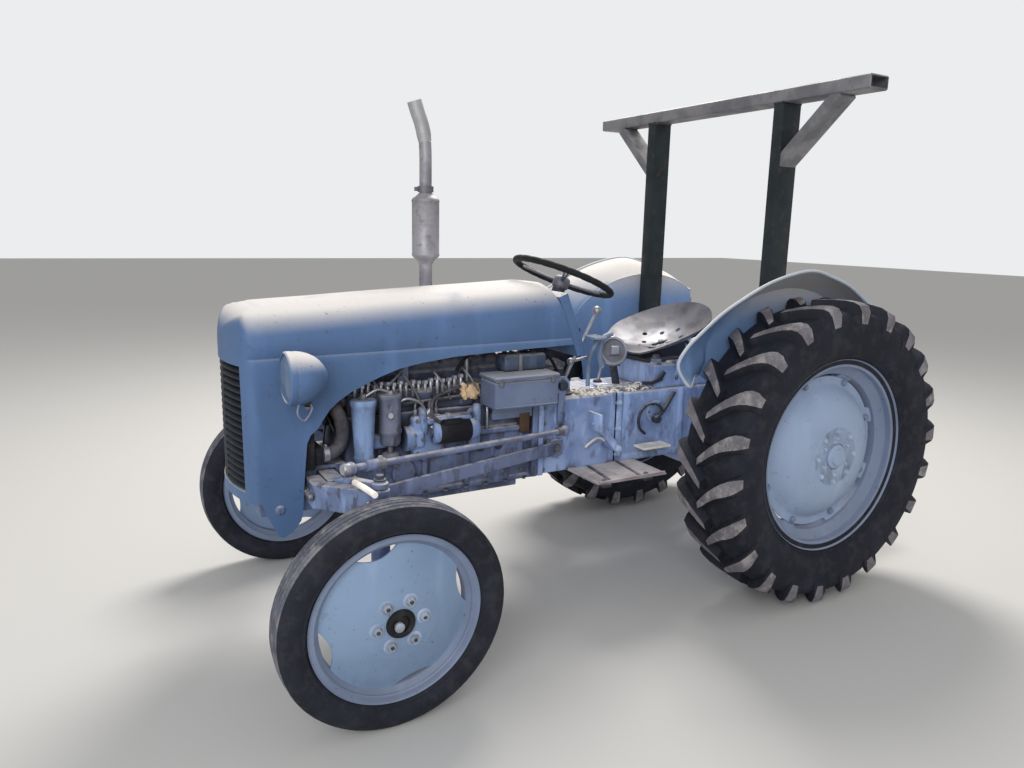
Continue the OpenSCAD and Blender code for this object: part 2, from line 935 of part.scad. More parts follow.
// The open space below the side panels, from the nose's rear edge along the arch to the dash
arch = [
    [-1995, 444], [-1919, 496], [-1897, 762], [-1861, 791], [-1821, 853], [-1703, 925], [-1581, 973],
    [-1380, 997], [-907, 1013], [-500, 1013], [-500, 440], [-1995, 440]
];
nose_cut = [[-2200, 440], [-1995, 440], [-1995, 444], [-2045, 568], [-2200, 568]];

grille_half = 170;
grille_low = 600;
grille_high = 1005;

module hood() {
    color(paint)
        difference() {
            hood_form(0);
            hood_form(hood_wall);
            translate([-400, 0, 0])
                rotate([90, 0, 90])
                    linear_extrude(800) {
                        polygon(arch);
                        polygon(nose_cut);
                    }
            translate([0, hood_cut_y, hood_cut_z])
                rotate([column_lean, 0, 0])
                    block([-400, 0, -600], [400, 900, 600]);
            block([-grille_half, nose_y - 20, grille_low], [grille_half, front_y - 200, grille_high]);
            block([-hood_half + hood_wall + 4, nose_y - 20, 440], [hood_half - hood_wall - 4, front_y + 40, 568]);
            across(-300, 300, hinge_y, hinge_z, hinge_r + running);
        }
}

module grille() {
    slats = 18;
    pitch = (grille_high - grille_low - 4) / slats;
    inner = grille_half - seat_gap;
    color(paint)
        intersection() {
            union() {
                for (i = [0 : slats - 1])
                    translate([0, 0, grille_low + 2 + i * pitch])
                        block([-inner, nose_y - 20, 0], [inner, nose_y + 80, pitch * 0.5]);
                for (x = [-inner, -9, inner - 18])
                    block([x, nose_y - 20, grille_low + seat_gap], [x + 18, nose_y + 90, grille_high - seat_gap]);
            }
            difference() {
                hood_form(3);
                hood_form(22);
            }
        }
}

lamp_x = 306;
lamp_y = -1976;
lamp_z = 983;
lamp_r = 82;

module headlamps() {
    color(paint)
        both_sides() {
            translate([lamp_x, lamp_y, lamp_z])
                rotate([-90, 0, 0])
                    rotate_extrude($fn = 64)
                        polygon([[0, -14], [50, -10], [lamp_r - 8, 0], [lamp_r, 4], [lamp_r, 18], [lamp_r - 6, 22],
                            [lamp_r - 14, 62], [lamp_r - 38, 100], [lamp_r - 62, 118], [0, 124]]);
            difference() {
                bar([hood_half, lamp_y + 60, lamp_z - 60], [lamp_x, lamp_y + 60, lamp_z - 60], 44, 12);
                block([hood_half - 60, lamp_y, lamp_z - 100], [hood_half, lamp_y + 120, lamp_z]);
            }
            across(hood_half, hood_half + 6, lamp_y + 60, lamp_z - 60, 30);
        }
}

// Body pieces behind the engine

dash_gap = 6;
dash_t = 40;

module dash_panel() {
    color(paint)
        difference() {
            translate([0, hood_cut_y, hood_cut_z])
                rotate([column_lean, 0, 0])
                    block([-205, dash_gap, -60], [205, dash_gap + dash_t, 185]);
            rod(wheel_pos - column_dir * 500, wheel_pos, column_r + seat_gap);
        }
}

tank_half = 185;
tank_front = -1560;
tank_back = -1010;
tank_low = 1020;
tank_high = 1140;
tank_strap_z = 1060;

module fuel_tank() {
    leg_y = engine_front + 200;
    color(paint) {
        block([-tank_half, tank_front, tank_low], [tank_half, tank_back, tank_high]);
        for (x = [-block_half + 20, block_half - 40])
            block([x, leg_y, head_top], [x + 12, leg_y + 40, tank_low + 1]);
        block([-60, tank_back - 1, tank_low], [60, tank_back + 20, tank_strap_z]);
        block([-20, tank_back + 10, box_top], [20, tank_back + 20, tank_strap_z]);
    }
}

battery_in = 150;
battery_w = 120;
battery_front = -1249;
battery_back = -985;
battery_low = 803;
battery_high = 905;
battery_lid = 18;
lid_over = 4;
battery_foot = 43;

module battery_box() {
    out = battery_in + battery_w;
    foot_front = battery_front + 49;
    foot_back = battery_back - 46;
    color(paint) {
        block([battery_in, battery_front, battery_low], [out, battery_back, battery_high]);
        block([battery_in - lid_over, battery_front - lid_over, battery_high],
            [out + lid_over, battery_back + lid_over, battery_high + battery_lid]);
        block([battery_in, foot_front, battery_low - battery_foot], [battery_in + 12, foot_back, battery_low]);
        block([block_half, foot_front, battery_low - battery_foot - 20],
            [battery_in + 12, foot_back, battery_low - battery_foot + 2]);
    }
}

module footrests() {
    strap_y = [-860, -665];
    color(steel)
        both_sides() {
            block([190, -880, 512], [400, -560, 520]);
            for (y = strap_y)
                block([housing_half, y, 500], [400, y + 40, 512]);
        }
}

pedal_y = -680;
pedal_z = 590;
pad_y = -800;
pad_z = 712;
pad_t = 12;

module pedals() {
    color(iron)
        both_sides() {
            across(housing_half, housing_half + 96, pedal_y, pedal_z, 14);
            bar([housing_half + 84, pedal_y, pedal_z], [housing_half + 90, pad_y + 6, pad_z], 14, 30);
            block([housing_half + 50, pad_y, pad_z - 34], [housing_half + 130, pad_y + pad_t, pad_z + 34]);
        }
}

// A lever on a round boot: foot, knob, rod radius and knob radius
module lever(foot, knob, r, knob_r) {
    boot = 22;
    translate(foot)
        cylinder(r = r + 8, h = boot);
    rod(foot + [0, 0, boot - 8], knob, r);
    translate(knob)
        sphere(r = knob_r);
}

module levers() {
    color(dark) {
        lever([60, -828, housing_z], [60, -679, 1116], 9, 20);
        lever([-80, -560, housing_z], [-80, -500, 960], 7, 16);
    }
}

seat_pos = [0, -285, 1030];
seat_tilt = 13;
seat_r = 210;
seat_deep = 78;
seat_t = 5;

module seat_form(grow) {
    bowl_r = (pow(seat_r, 2) + pow(seat_deep, 2)) / (2 * seat_deep);
    translate(seat_pos)
        rotate([seat_tilt, 0, 0])
            intersection() {
                translate([0, 0, bowl_r - seat_deep])
                    sphere(r = bowl_r + grow, $fn = 96);
                translate([0, 0, -seat_deep - 20])
                    cylinder(r = seat_r + grow, h = seat_deep + 20);
            }
}

module seat() {
    color(steel)
        difference() {
            seat_form(0);
            seat_form(-seat_t);
            translate(seat_pos)
                rotate([seat_tilt, 0, 0])
                    for (p = [[-60, 60], [60, 60], [-60, -60], [60, -60], [0, 0]])
                        translate([p[0], p[1], -120])
                            cylinder(r = 12, h = 200);
        }
}

module seat_bracket() {
    color(iron)
        difference() {
            union() {
                block([-40, -380, cover_top], [40, -180, cover_top + 90]);
                block([-90, -420, cover_top], [90, -140, cover_top + 14]);
            }
            seat_form(seat_gap);
        }
}

// The flare of a fender from front to rear: [y, z] of the seam on its wall and of its outer edge
flare = [
    [[-452, 992], [-668, 935]],
    [[-452, 1010], [-703, 985]],
    [[-436, 1046], [-668, 1040]],
    [[-410, 1078], [-614, 1084]],
    [[-362, 1118], [-522, 1149]],
    [[-295, 1162], [-426, 1200]],
    [[-210, 1198], [-292, 1258]],
    [[-118, 1219], [-150, 1294]],
    [[-40, 1227], [-50, 1300]],
    [[40, 1224], [40, 1278]],
    [[125, 1207], [150, 1240]],
    [[184, 1185], [240, 1188]],
    [[262, 1142], [340, 1125]]
];
fender_in = rear_track / 2 - rear_tyre_w / 2 - 27;
fender_reach = 150;
fender_t = 5;
fender_heart = [60, 860];
flare_crown = 12;
// The wall's upper edge, just above the flare's seam, and its foot
wall_top = [[-474, 992], [-446, 1058], [-366, 1130], [-215, 1208], [-60, 1236], [60, 1231], [180, 1195]];
wall_foot = [[282, 1120], [300, 760], [120, 560], [-120, 560], [-380, 700], [-405, 880], [-476, 985]];

function reversed(points) = [for (i = [len(points) - 1 : -1 : 0]) points[i]];
function outward(p) = (p - fender_heart) / norm(p - fender_heart);

// Six corners of the flare's sheet at one station: seam, crown and edge outside, then inside
function flare_section(s) = let (
    middle = (s[0] + s[1]) / 2,
    rise = flare_crown * outward(middle),
    line = [[fender_t / 2, s[0]], [fender_reach / 2, middle + rise], [fender_reach, s[1]]]
) concat(
    [for (p = line) [fender_in + p[0], p[1][0], p[1][1]]],
    [for (i = [2 : -1 : 0]) let (q = line[i][1] - fender_t * outward(line[i][1])) [fender_in + line[i][0], q[0], q[1]]]
);

module fender_flare() {
    corners = 6;
    last = len(flare) - 1;
    cap = [[0, 1, 4], [0, 4, 5], [1, 2, 3], [1, 3, 4]];
    polyhedron(
        points = [for (s = flare) each flare_section(s)],
        faces = concat(
            cap,
            [for (i = [0 : last - 1], j = [0 : corners - 1])
                let (a = i * corners + j, b = i * corners + (j + 1) % corners)
                    each j < 3
                        ? [[a, a + corners, b], [b, a + corners, b + corners]]
                        : [[a, a + corners, b + corners], [a, b + corners, b]]],
            [for (face = cap) [for (j = reversed(face)) last * corners + j]]
        )
    );
}

module fender_wall() {
    difference() {
        translate([fender_in, 0, 0])
            rotate([90, 0, 90])
                linear_extrude(fender_t)
                    polygon(concat(wall_top, wall_foot));
        trumpet_form(seat_gap);
    }
}

module fenders() {
    color(paint)
        both_sides() {
            fender_flare();
            fender_wall();
        }
}

// Roll bar

post_x1 = fender_in - post_gap;
bar_front = -98;
bar_back = bar_front + bar_depth;
base_low = 640;
base_high = 720;

module roll_bar() {
    half = bar_span / 2;
    post_x0 = post_x1 - bar_w;
    color(dark) {
        block([-half, bar_front, bar_z - bar_w], [half, bar_back, bar_z]);
        both_sides() {
            block([post_x0, bar_front, base_high - 10], [post_x1, bar_back, bar_z - bar_w + 1]);
            bar([post_x1 - 20, (bar_front + bar_back) / 2, 1700], [640, (bar_front + bar_back) / 2, bar_z - bar_w + 8],
                bar_depth - 10, bar_w - 10);
            difference() {
                block([post_x0 - 20, bar_front - 10, base_low], [post_x1 + 12, 110, base_high]);
                trumpet_form(seat_gap);
            }
        }
    }
}

module place() {
    translate([0, rear_axle_y, 0])
        children();
}

module on_right() {
    mirror([1, 0, 0])
        children();
}

place() engine_block();
place() cylinder_head();
place() injection_pump();
place() starter_motor();
place() manifold();
place() exhaust_stack();
place() radiator();
place() coolant_hoses();
place() fan();
place() front_support();
place() front_axle_beam();
place() axle_arms();
place() radius_rods();
place() clutch_housing();
place() rear_housing();
place() lift_cover();
place() axle_trumpets();
place() steering_column();
place() dash_panel();
place() fuel_tank();
place() battery_box();
place() footrests();
place() pedals();
place() levers();
place() seat();
place() seat_bracket();
place() fenders();
place() roll_bar();
place() hood();
place() grille();
place() headlamps();
place() steering_wheel();
place() knuckle();  // knuckle_left
place() on_right() knuckle();  // knuckle_right
place() drop_arm();  // drop_arm_left
place() on_right() drop_arm();  // drop_arm_right
place() drag_link();  // drag_link_left
place() on_right() drag_link();  // drag_link_right
place() front_tyre();  // front_tyre_left
place() on_right() front_tyre();  // front_tyre_right
place() front_rim();  // front_rim_left
place() on_right() front_rim();  // front_rim_right
place() rear_tyre();  // rear_tyre_left
place() on_right() rear_tyre();  // rear_tyre_right
place() rear_rim();  // rear_rim_left
place() on_right() rear_rim();  // rear_rim_right
place() rear_disc();  // rear_disc_left
place() on_right() rear_disc();  // rear_disc_right
place() lift_arms();
place() lift_rod();  // lift_rod_left
place() on_right() lift_rod();  // lift_rod_right
place() lower_link();  // lower_link_left
place() on_right() lower_link();  // lower_link_right
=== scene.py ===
import json
import math
import random

import bmesh
import bpy
from mathutils import Matrix, Vector, noise


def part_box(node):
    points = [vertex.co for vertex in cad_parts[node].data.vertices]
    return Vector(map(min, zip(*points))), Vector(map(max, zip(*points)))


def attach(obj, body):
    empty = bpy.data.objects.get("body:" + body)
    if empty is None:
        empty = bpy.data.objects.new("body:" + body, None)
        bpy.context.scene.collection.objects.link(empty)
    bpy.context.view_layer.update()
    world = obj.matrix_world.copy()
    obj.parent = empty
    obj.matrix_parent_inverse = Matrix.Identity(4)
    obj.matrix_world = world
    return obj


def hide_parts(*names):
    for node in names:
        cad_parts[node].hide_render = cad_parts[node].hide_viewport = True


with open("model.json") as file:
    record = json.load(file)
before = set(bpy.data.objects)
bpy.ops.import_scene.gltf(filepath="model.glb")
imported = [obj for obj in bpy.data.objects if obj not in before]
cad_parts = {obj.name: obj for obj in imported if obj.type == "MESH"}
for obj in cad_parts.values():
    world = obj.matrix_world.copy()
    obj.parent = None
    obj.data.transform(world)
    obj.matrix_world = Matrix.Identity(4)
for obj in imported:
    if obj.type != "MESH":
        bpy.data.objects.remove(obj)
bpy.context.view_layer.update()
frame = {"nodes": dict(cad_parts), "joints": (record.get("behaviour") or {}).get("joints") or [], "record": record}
NODES = frame["nodes"]
JOINTS = {joint["name"]: joint for joint in frame["joints"]}
SIDES = {"left": 1, "right": -1}
UP = (0, 0, 1)
DOWN = (0, 0, -1)
BACK = (0, 1, 0)
FORWARD = (0, -1, 0)
LEFT = (1, 0, 0)
RIGHT = (-1, 0, 0)
MM = 0.001
random.seed(7)

# The frame that the shapes are drawn in: millimetres, with Y = 0 on the rear axle and Z = 0 on the ground
AXLE_Y = JOINTS["rear_wheel_spin_left"]["pos_m"][1]


def at(x, y, z):
    """A point of the drawing frame, in metres in the row's frame."""
    return Vector((x * MM, y * MM + AXLE_Y, z * MM))


def drawn(point):
    """A point of the row's frame, in millimetres in the drawing frame."""
    return Vector((point[0], point[1] - AXLE_Y, point[2])) / MM


def pivot(joint):
    return drawn(JOINTS[joint]["pos_m"])


def box_of(node):
    low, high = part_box(node)
    return drawn(low), drawn(high)


REAR_HUB = pivot("rear_wheel_spin_left")
FRONT_HUB = pivot("front_wheel_spin_left")
STEER = pivot("steering_wheel_turn")
REAR_R = REAR_HUB.z
FRONT_Y = FRONT_HUB.y
CAMBER = math.acos(abs(JOINTS["front_wheel_spin_left"]["axis"][0]))


# Mesh building

def inset(outline, distance):
    """Moves the edges of an anticlockwise outline inwards."""
    moved = []
    for i, point in enumerate(outline):
        before = (Vector(point) - Vector(outline[i - 1])).normalized()
        after = (Vector(outline[(i + 1) % len(outline)]) - Vector(point)).normalized()
        n0 = Vector((-before.y, before.x))
        n1 = Vector((-after.y, after.x))
        moved.append(Vector(point) + (n0 + n1) * distance / (1 + n0.dot(n1)))
    return moved


def rounded(w, h, r, steps=2):
    """An anticlockwise rectangle about the origin with round corners."""
    points = []
    for corner, (sx, sy) in enumerate([(1, 1), (-1, 1), (-1, -1), (1, -1)]):
        for i in range(steps + 1):
            a = math.radians(90 * (corner + i / steps))
            points.append((sx * (w / 2 - r) + r * math.cos(a), sy * (h / 2 - r) + r * math.sin(a)))
    return points


def smoothed(points, steps=6):
    """A smooth line through the points."""
    points = [Vector(p) for p in points]
    ends = [2 * points[0] - points[1], *points, 2 * points[-1] - points[-2]]
    line = []
    for a, b, c, d in zip(ends, ends[1:], ends[2:], ends[3:]):
        for i in range(steps):
            t = i / steps
            line.append(0.5 * (2 * b + (c - a) * t + (2 * a - 5 * b + 4 * c - d) * t ** 2
                               + (3 * b - a - 3 * c + d) * t ** 3))
    return [*line, points[-1]]


def between(table, key):
    """The value at a key, on straight lines between the rows of a rising table."""
    if key <= table[0][0]:
        return table[0][1]
    for (k0, v0), (k1, v1) in zip(table, table[1:]):
        if key <= k1:
            return v0 + (v1 - v0) * (key - k0) / (k1 - k0)
    return table[-1][1]


def looking(origin, axis, up=UP):
    """A place whose Z points along an axis and whose Y is as near to up as it can be."""
    z = Vector(axis).normalized()
    x = Vector(up).cross(z)
    if x.length < 0.01:
        x = Vector(LEFT).cross(z) if abs(z.x) < 0.9 else Vector(BACK).cross(z)
    x.normalize()
    return Matrix.Translation(Vector(origin)) @ Matrix((x, z.cross(x), z)).transposed().to_4x4()


class Form:
    """A piece in the making, in the drawing frame. Each face has its material."""

    def __init__(self, place=None):
        self.points = []
        self.faces = []
        self.paints = []
        self.materials = []
        self.place = place or Matrix.Identity(4)

    def add(self, points, faces, material, place=None):
        place = self.place @ place if place else self.place
        if material not in self.materials:
            self.materials.append(material)
        first = len(self.points)
        self.points.extend(place @ Vector(p) for p in points)
        self.faces.extend([first + i for i in face] for face in faces)
        self.paints.extend([self.materials.index(material)] * len(faces))

    def loft(self, rings, material, looped=False, top=None, strips=()):
        """Joins rings with as many points each. Strips named by number get the top material."""
        size = len(rings[0])
        count = len(rings)
        plain = []
        marked = []
        for i in range(count if looped else count - 1):
            a = i * size
            b = (i + 1) % count * size
            for j in range(size):
                k = (j + 1) % size
                (marked if j in strips else plain).append([a + j, a + k, b + k, b + j])
        if not looped:
            plain.append(list(range(size))[::-1])
            plain.append([(count - 1) * size + j for j in range(size)])
        points = [p for ring in rings for p in ring]
        self.add(points, plain, material)
        if marked:
            if top not in self.materials:
                self.materials.append(top)
            first = len(self.points) - len(points)
            self.faces.extend([first + i for i in face] for face in marked)
            self.paints.extend([self.materials.index(top)] * len(marked))

    def revolve(self, profile, material, origin=(0, 0, 0), axis=LEFT, sides=48, looped=False):
        """Turns a profile of (radius, distance along the axis) about an axis."""
        points = []
        rings = []
        for radius, along in profile:
            count = 1 if radius < 0.01 else sides
            rings.append(range(len(points), len(points) + count))
            for i in range(count):
                a = 2 * math.pi * i / sides
                points.append((radius * math.cos(a), radius * math.sin(a), along))
        faces = []
        for low, high in zip(rings, rings[1:] + rings[:1] if looped else rings[1:]):
            for j in range(sides):
                k = (j + 1) % sides
                face = [low[j % len(low)], low[k % len(low)], high[k % len(high)], high[j % len(high)]]
                faces.append(list(dict.fromkeys(face)))
        self.add(points, faces, material, looking(origin, axis))

    def prism(self, outline, depth, material, place, bevel=1.5):
        """Pushes an anticlockwise outline along Z, with its end edges chamfered."""
        small = inset(outline, bevel)
        levels = [(small, 0), (outline, bevel), (outline, depth - bevel), (small, depth)]
        rings = [[place @ Vector((p[0], p[1], z)) for p in ring] for ring, z in levels]
        self.loft(rings, material)

    def box(self, low, high, material, bevel=2.0):
        low = Vector(low)
        size = Vector(high) - low
        bevel = min(bevel, min(size) * 0.3)
        middle = (low.x + size.x / 2, low.y + size.y / 2, low.z)
        self.prism(rounded(size.x, size.y, bevel), size.z, material, Matrix.Translation(middle), bevel)

    def bar(self, start, end, w, h, material, bevel=2.0, up=UP):
        """A bar from one point to another, w wide across and h high."""
        run = Vector(end) - Vector(start)
        bevel = min(bevel, w * 0.3, h * 0.3)
        self.prism(rounded(w, h, bevel), run.length, material, looking(start, run, up), bevel)

    def rod(self, start, end, r, material, end_r=None, sides=20, bevel=1.0):
        run = Vector(end) - Vector(start)
        last = r if end_r is None else end_r
        bevel = min(bevel, r * 0.4, last * 0.4, run.length * 0.3)
        profile = [(0, 0), (r - bevel, 0), (r, bevel), (last, run.length - bevel),
                   (last - bevel, run.length), (0, run.length)]
        self.revolve(profile, material, start, run, sides)

    def ball(self, centre, r, material, sides=20):
        half = sides // 2
        turns = [math.pi * i / half for i in range(half + 1)]
        profile = [(r * math.sin(a), -r * math.cos(a)) for a in turns]
        self.revolve(profile, material, centre, UP, sides)

    def tube(self, points, r, material, sides=12, steps=6):
        """A round tube along a smooth line through the points. Its radius may be a function of the way."""
        line = smoothed(points, steps)
        normal = (line[1] - line[0]).orthogonal().normalized()
        rings = []
        for i, point in enumerate(line):
            along = (line[min(i + 1, len(line) - 1)] - line[max(i - 1, 0)]).normalized()
            normal = (normal - along * normal.dot(along)).normalized()
            side = along.cross(normal)
            size = r(i / (len(line) - 1)) if callable(r) else r
            turns = [2 * math.pi * j / sides for j in range(sides)]
            rings.append([point + size * (math.cos(a) * normal + math.sin(a) * side) for a in turns])
        self.loft(rings, material)

    def bolt(self, point, axis, size, material, washer=True):
        """A hexagon head on a washer."""
        head = [(0, 0), (size, 0), (size, size * 0.9), (size * 0.85, size * 1.1), (0, size * 1.1)]
        self.revolve(head, material, point, axis, 6)
        if washer:
            self.revolve([(0, 0), (size * 1.35, 0), (size * 1.35, size * 0.25), (0, size * 0.25)], material,
                         point, axis, 16)

    def bolt_ring(self, centre, axis, ring_r, count, size, material, start=0.0):
        place = looking(centre, axis)
        for i in range(count):
            a = 2 * math.pi * (i + start) / count
            self.bolt(place @ Vector((ring_r * math.cos(a), ring_r * math.sin(a), 0)), axis, size, material)

    def join(self, other):
        """Adds everything of another form."""
        first = len(self.points)
        self.points.extend(other.points)
        self.materials.extend(m for m in other.materials if m not in self.materials)
        for face, paint in zip(other.faces, other.paints):
            self.faces.append([first + i for i in face])
            self.paints.append(self.materials.index(other.materials[paint]))

    def mirror(self):
        """Adds a copy of everything on the other side of the middle."""
        first = len(self.points)
        self.points += [Vector((-p.x, p.y, p.z)) for p in self.points]
        self.faces += [[first + i for i in face[::-1]] for face in self.faces]
        self.paints += list(self.paints)

    def take(self, node, material):
        """Adds a CAD node's own shape."""
        mesh = bmesh.new()
        mesh.from_mesh(NODES[node].data)
        bmesh.ops.remove_doubles(mesh, verts=mesh.verts, dist=0.00002)
        bmesh.ops.dissolve_limit(mesh, angle_limit=0.002, verts=mesh.verts, edges=mesh.edges)
        mesh.verts.index_update()
        faces = [[v.index for v in f.verts] for f in mesh.faces]
        self.add([drawn(v.co) for v in mesh.verts], faces, material)
        mesh.free()

    def mesh(self, name):
        mesh = bpy.data.meshes.new(name)
        mesh.from_pydata(self.points, [], self.faces)
        mesh.polygons.foreach_set("material_index", self.paints)
        checked = bmesh.new()
        checked.from_mesh(mesh)
        bmesh.ops.remove_doubles(checked, verts=checked.verts, dist=0.004)
        bmesh.ops.recalc_face_normals(checked, faces=checked.faces)
        checked.to_mesh(mesh)
        checked.free()
        return mesh

    def work(self, *steps):
        """Runs modifiers, each a kind and its settings, and keeps what they make."""
        thing = bpy.data.objects.new("work", self.mesh("work"))
        bpy.context.scene.collection.objects.link(thing)
        for kind, settings in steps:
            modifier = thing.modifiers.new(kind, kind)
            for key, value in settings.items():
                setattr(modifier, key, value)
        graph = bpy.context.evaluated_depsgraph_get()
        made = bpy.data.meshes.new_from_object(thing.evaluated_get(graph))
        self.points = [v.co.copy() for v in made.vertices]
        self.faces = [list(p.vertices) for p in made.polygons]
        self.paints = [min(p.material_index, len(self.materials) - 1) for p in made.polygons]
        bpy.data.objects.remove(thing)

    def cast(self, voxel=4.5, passes=2):
        """Makes one rough casting of all solids, with soft edges and fillets."""
        self.work(("REMESH", {"mode": "VOXEL", "voxel_size": voxel}),
                  ("SMOOTH", {"factor": 0.5, "iterations": passes}))

    def soften(self, width=2.0, segments=2):
        """Rounds the sharp edges."""
        self.work(("BEVEL", {"width": width, "segments": segments, "limit_method": "ANGLE",
                             "angle_limit": math.radians(40), "use_clamp_overlap": True}))

    def thicken(self, wall):
        """Gives a sheet its wall, on its inner side."""
        self.work(("SOLIDIFY", {"thickness": wall, "offset": -1, "use_even_offset": True}))

    def cut(self, other):
        """Takes another form out of this one."""
        tool = bpy.data.objects.new("cut", other.mesh("cut"))
        bpy.context.scene.collection.objects.link(tool)
        self.work(("BOOLEAN", {"operation": "DIFFERENCE", "solver": "EXACT", "object": tool}))
        bpy.data.objects.remove(tool)

    def dent(self, height, size, seed=0.0):
        """Moves the surface in and out a little, as old sheet metal is."""
        mesh = self.mesh("dent")
        moved = []
        for vertex in mesh.vertices:
            wave = noise.noise(vertex.co / size + Vector((seed, seed, seed)))
            moved.append(vertex.co + vertex.normal * wave * height)
        self.points = moved
        self.faces = [list(p.vertices) for p in mesh.polygons]
        self.paints = [p.material_index for p in mesh.polygons]
        bpy.data.meshes.remove(mesh)

    def make(self, name, body, *replaced, slot=None, crease=45):
        """Turns the form into a piece that rides on a body and stands for CAD nodes."""
        mesh = self.mesh(name)
        for material in self.materials:
            mesh.materials.append(MATERIALS[material])
        mesh.transform(Matrix.Translation(at(0, 0, 0)) @ Matrix.Scale(MM, 4))
        mesh.polygons.foreach_set("use_smooth", [True] * len(mesh.polygons))
        mesh.set_sharp_from_angle(angle=math.radians(crease))
        piece = bpy.data.objects.new(name, mesh)
        bpy.context.scene.collection.objects.link(piece)
        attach(piece, body)
        if replaced:
            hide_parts(*replaced)
        return piece


# Materials

def linear(colour):
    """A colour given from 0 to 255, as the shader wants it."""
    shares = [c / 255 for c in colour]
    return (*[s / 12.92 if s <= 0.04045 else ((s + 0.055) / 1.055) ** 2.4 for s in shares], 1)


class Finish:
    """A procedural material, laid on in layers."""

    def __init__(self, name, colour, rough=0.6, metal=0.0, gloss=0.35):
        self.name = name
        self.material = bpy.data.materials.new(name)
        self.material.use_nodes = True
        self.tree = self.material.node_tree
        self.shader = self.tree.nodes["Principled BSDF"]
        self.shader.inputs["Base Color"].default_value = linear(colour)
        self.shader.inputs["Roughness"].default_value = rough
        self.shader.inputs["Metallic"].default_value = metal
        self.shader.inputs["Specular IOR Level"].default_value = gloss
        self.place = self.tree.nodes.new("ShaderNodeTexCoord")
        self.geometry = self.tree.nodes.new("ShaderNodeNewGeometry")
        self.colour = linear(colour)
        self.rough = rough
        self.metal = metal
        self.height = None

    def link(self, value, socket):
        if isinstance(value, bpy.types.NodeSocket):
            self.tree.links.new(value, socket)
        else:
            socket.default_value = value

    def math(self, kind, a, b):
        node = self.tree.nodes.new("ShaderNodeMath")
        node.operation = kind
        node.use_clamp = kind != "ADD"
        self.link(a, node.inputs[0])
        self.link(b, node.inputs[1])
        return node.outputs[0]

    def ranged(self, value, low, high, to_low=0.0, to_high=1.0):
        node = self.tree.nodes.new("ShaderNodeMapRange")
        node.interpolation_type = "SMOOTHSTEP"
        for socket, v in zip(node.inputs, (value, low, high, to_low, to_high)):
            self.link(v, socket)
        return node.outputs[0]

    def noise(self, scale, low=0.4, high=0.6, detail=4.0, stretch=(1, 1, 1), shift=0.0, rough=0.55):
        """Cloudy patches, from 0 below low to 1 above high."""
        spread = self.tree.nodes.new("ShaderNodeMapping")
        spread.inputs["Scale"].default_value = stretch
        spread.inputs["Location"].default_value = (shift, shift, shift)
        self.tree.links.new(self.place.outputs["Object"], spread.inputs["Vector"])
        node = self.tree.nodes.new("ShaderNodeTexNoise")
        node.inputs["Scale"].default_value = scale
        node.inputs["Detail"].default_value = detail
        node.inputs["Roughness"].default_value = rough
        self.tree.links.new(spread.outputs[0], node.inputs["Vector"])
        return self.ranged(node.outputs[0], low, high)

    def facing_up(self, low=0.3, high=0.9):
        parts = self.tree.nodes.new("ShaderNodeSeparateXYZ")
        self.tree.links.new(self.place.outputs["Normal"], parts.inputs[0])
        return self.ranged(parts.outputs["Z"], low, high)

    def height_above(self, low, high):
        """From 0 at the height low to 1 at the height high, in metres."""
        parts = self.tree.nodes.new("ShaderNodeSeparateXYZ")
        self.tree.links.new(self.place.outputs["Object"], parts.inputs[0])
        return self.ranged(parts.outputs["Z"], low, high)

    def edges(self, low=0.53, high=0.6):
        return self.ranged(self.geometry.outputs["Pointiness"], low, high)

    def corners(self, distance=0.05, low=0.35, high=0.9):
        """Painted shade: 1 deep in a corner, 0 in the open."""
        node = self.tree.nodes.new("ShaderNodeAmbientOcclusion")
        node.samples = 6
        node.inputs["Distance"].default_value = distance
        return self.ranged(node.outputs["AO"], low, high, 1.0, 0.0)

    def lay(self, mask, colour, share=1.0, rough=None, metal=None, height=None):
        """Lays a colour over what is there, where the mask is 1."""
        if share != 1.0:
            mask = self.math("MULTIPLY", mask, share)
        mix = self.tree.nodes.new("ShaderNodeMix")
        mix.data_type = "RGBA"
        self.link(mask, mix.inputs[0])
        self.link(self.colour, mix.inputs[6])
        self.link(linear(colour), mix.inputs[7])
        self.colour = mix.outputs[2]
        for name, value in (("rough", rough), ("metal", metal)):
            if value is not None:
                step = self.tree.nodes.new("ShaderNodeMix")
                self.link(mask, step.inputs[0])
                self.link(getattr(self, name), step.inputs[2])
                self.link(value, step.inputs[3])
                setattr(self, name, step.outputs[0])
        if height is not None:
            raised = self.math("MULTIPLY", mask, height)
            self.height = raised if self.height is None else self.math("ADD", self.height, raised)
        return self

    def grain(self, scale, height, detail=4.0, stretch=(1, 1, 1)):
        """A fine uneven surface, its height a share of a millimetre."""
        wave = self.math("MULTIPLY", self.noise(scale, 0.2, 0.8, detail, stretch, 0.37), height)
        self.height = wave if self.height is None else self.math("ADD", self.height, wave)
        return self

    def done(self, strength=0.6):
        self.link(self.colour, self.shader.inputs["Base Color"])
        self.link(self.rough, self.shader.inputs["Roughness"])
        self.link(self.metal, self.shader.inputs["Metallic"])
        if self.height is not None:
            bump = self.tree.nodes.new("ShaderNodeBump")
            bump.inputs["Strength"].default_value = strength
            bump.inputs["Distance"].default_value = MM
            self.link(self.height, bump.inputs["Height"])
            self.link(bump.outputs[0], self.shader.inputs["Normal"])
        MATERIALS[self.name] = self.material


MATERIALS = {}
DUST = (206, 198, 190)
# The pale dust, also laid as painted sunlight on up-facing and upper sheet metal
PALE_DUST_AND_SUN = (214, 208, 202)
# A dark colour for grime spots, oil and the painted shade in corners
GRIME_AND_SHADE = (44, 42, 48)
RUST = (112, 78, 58)


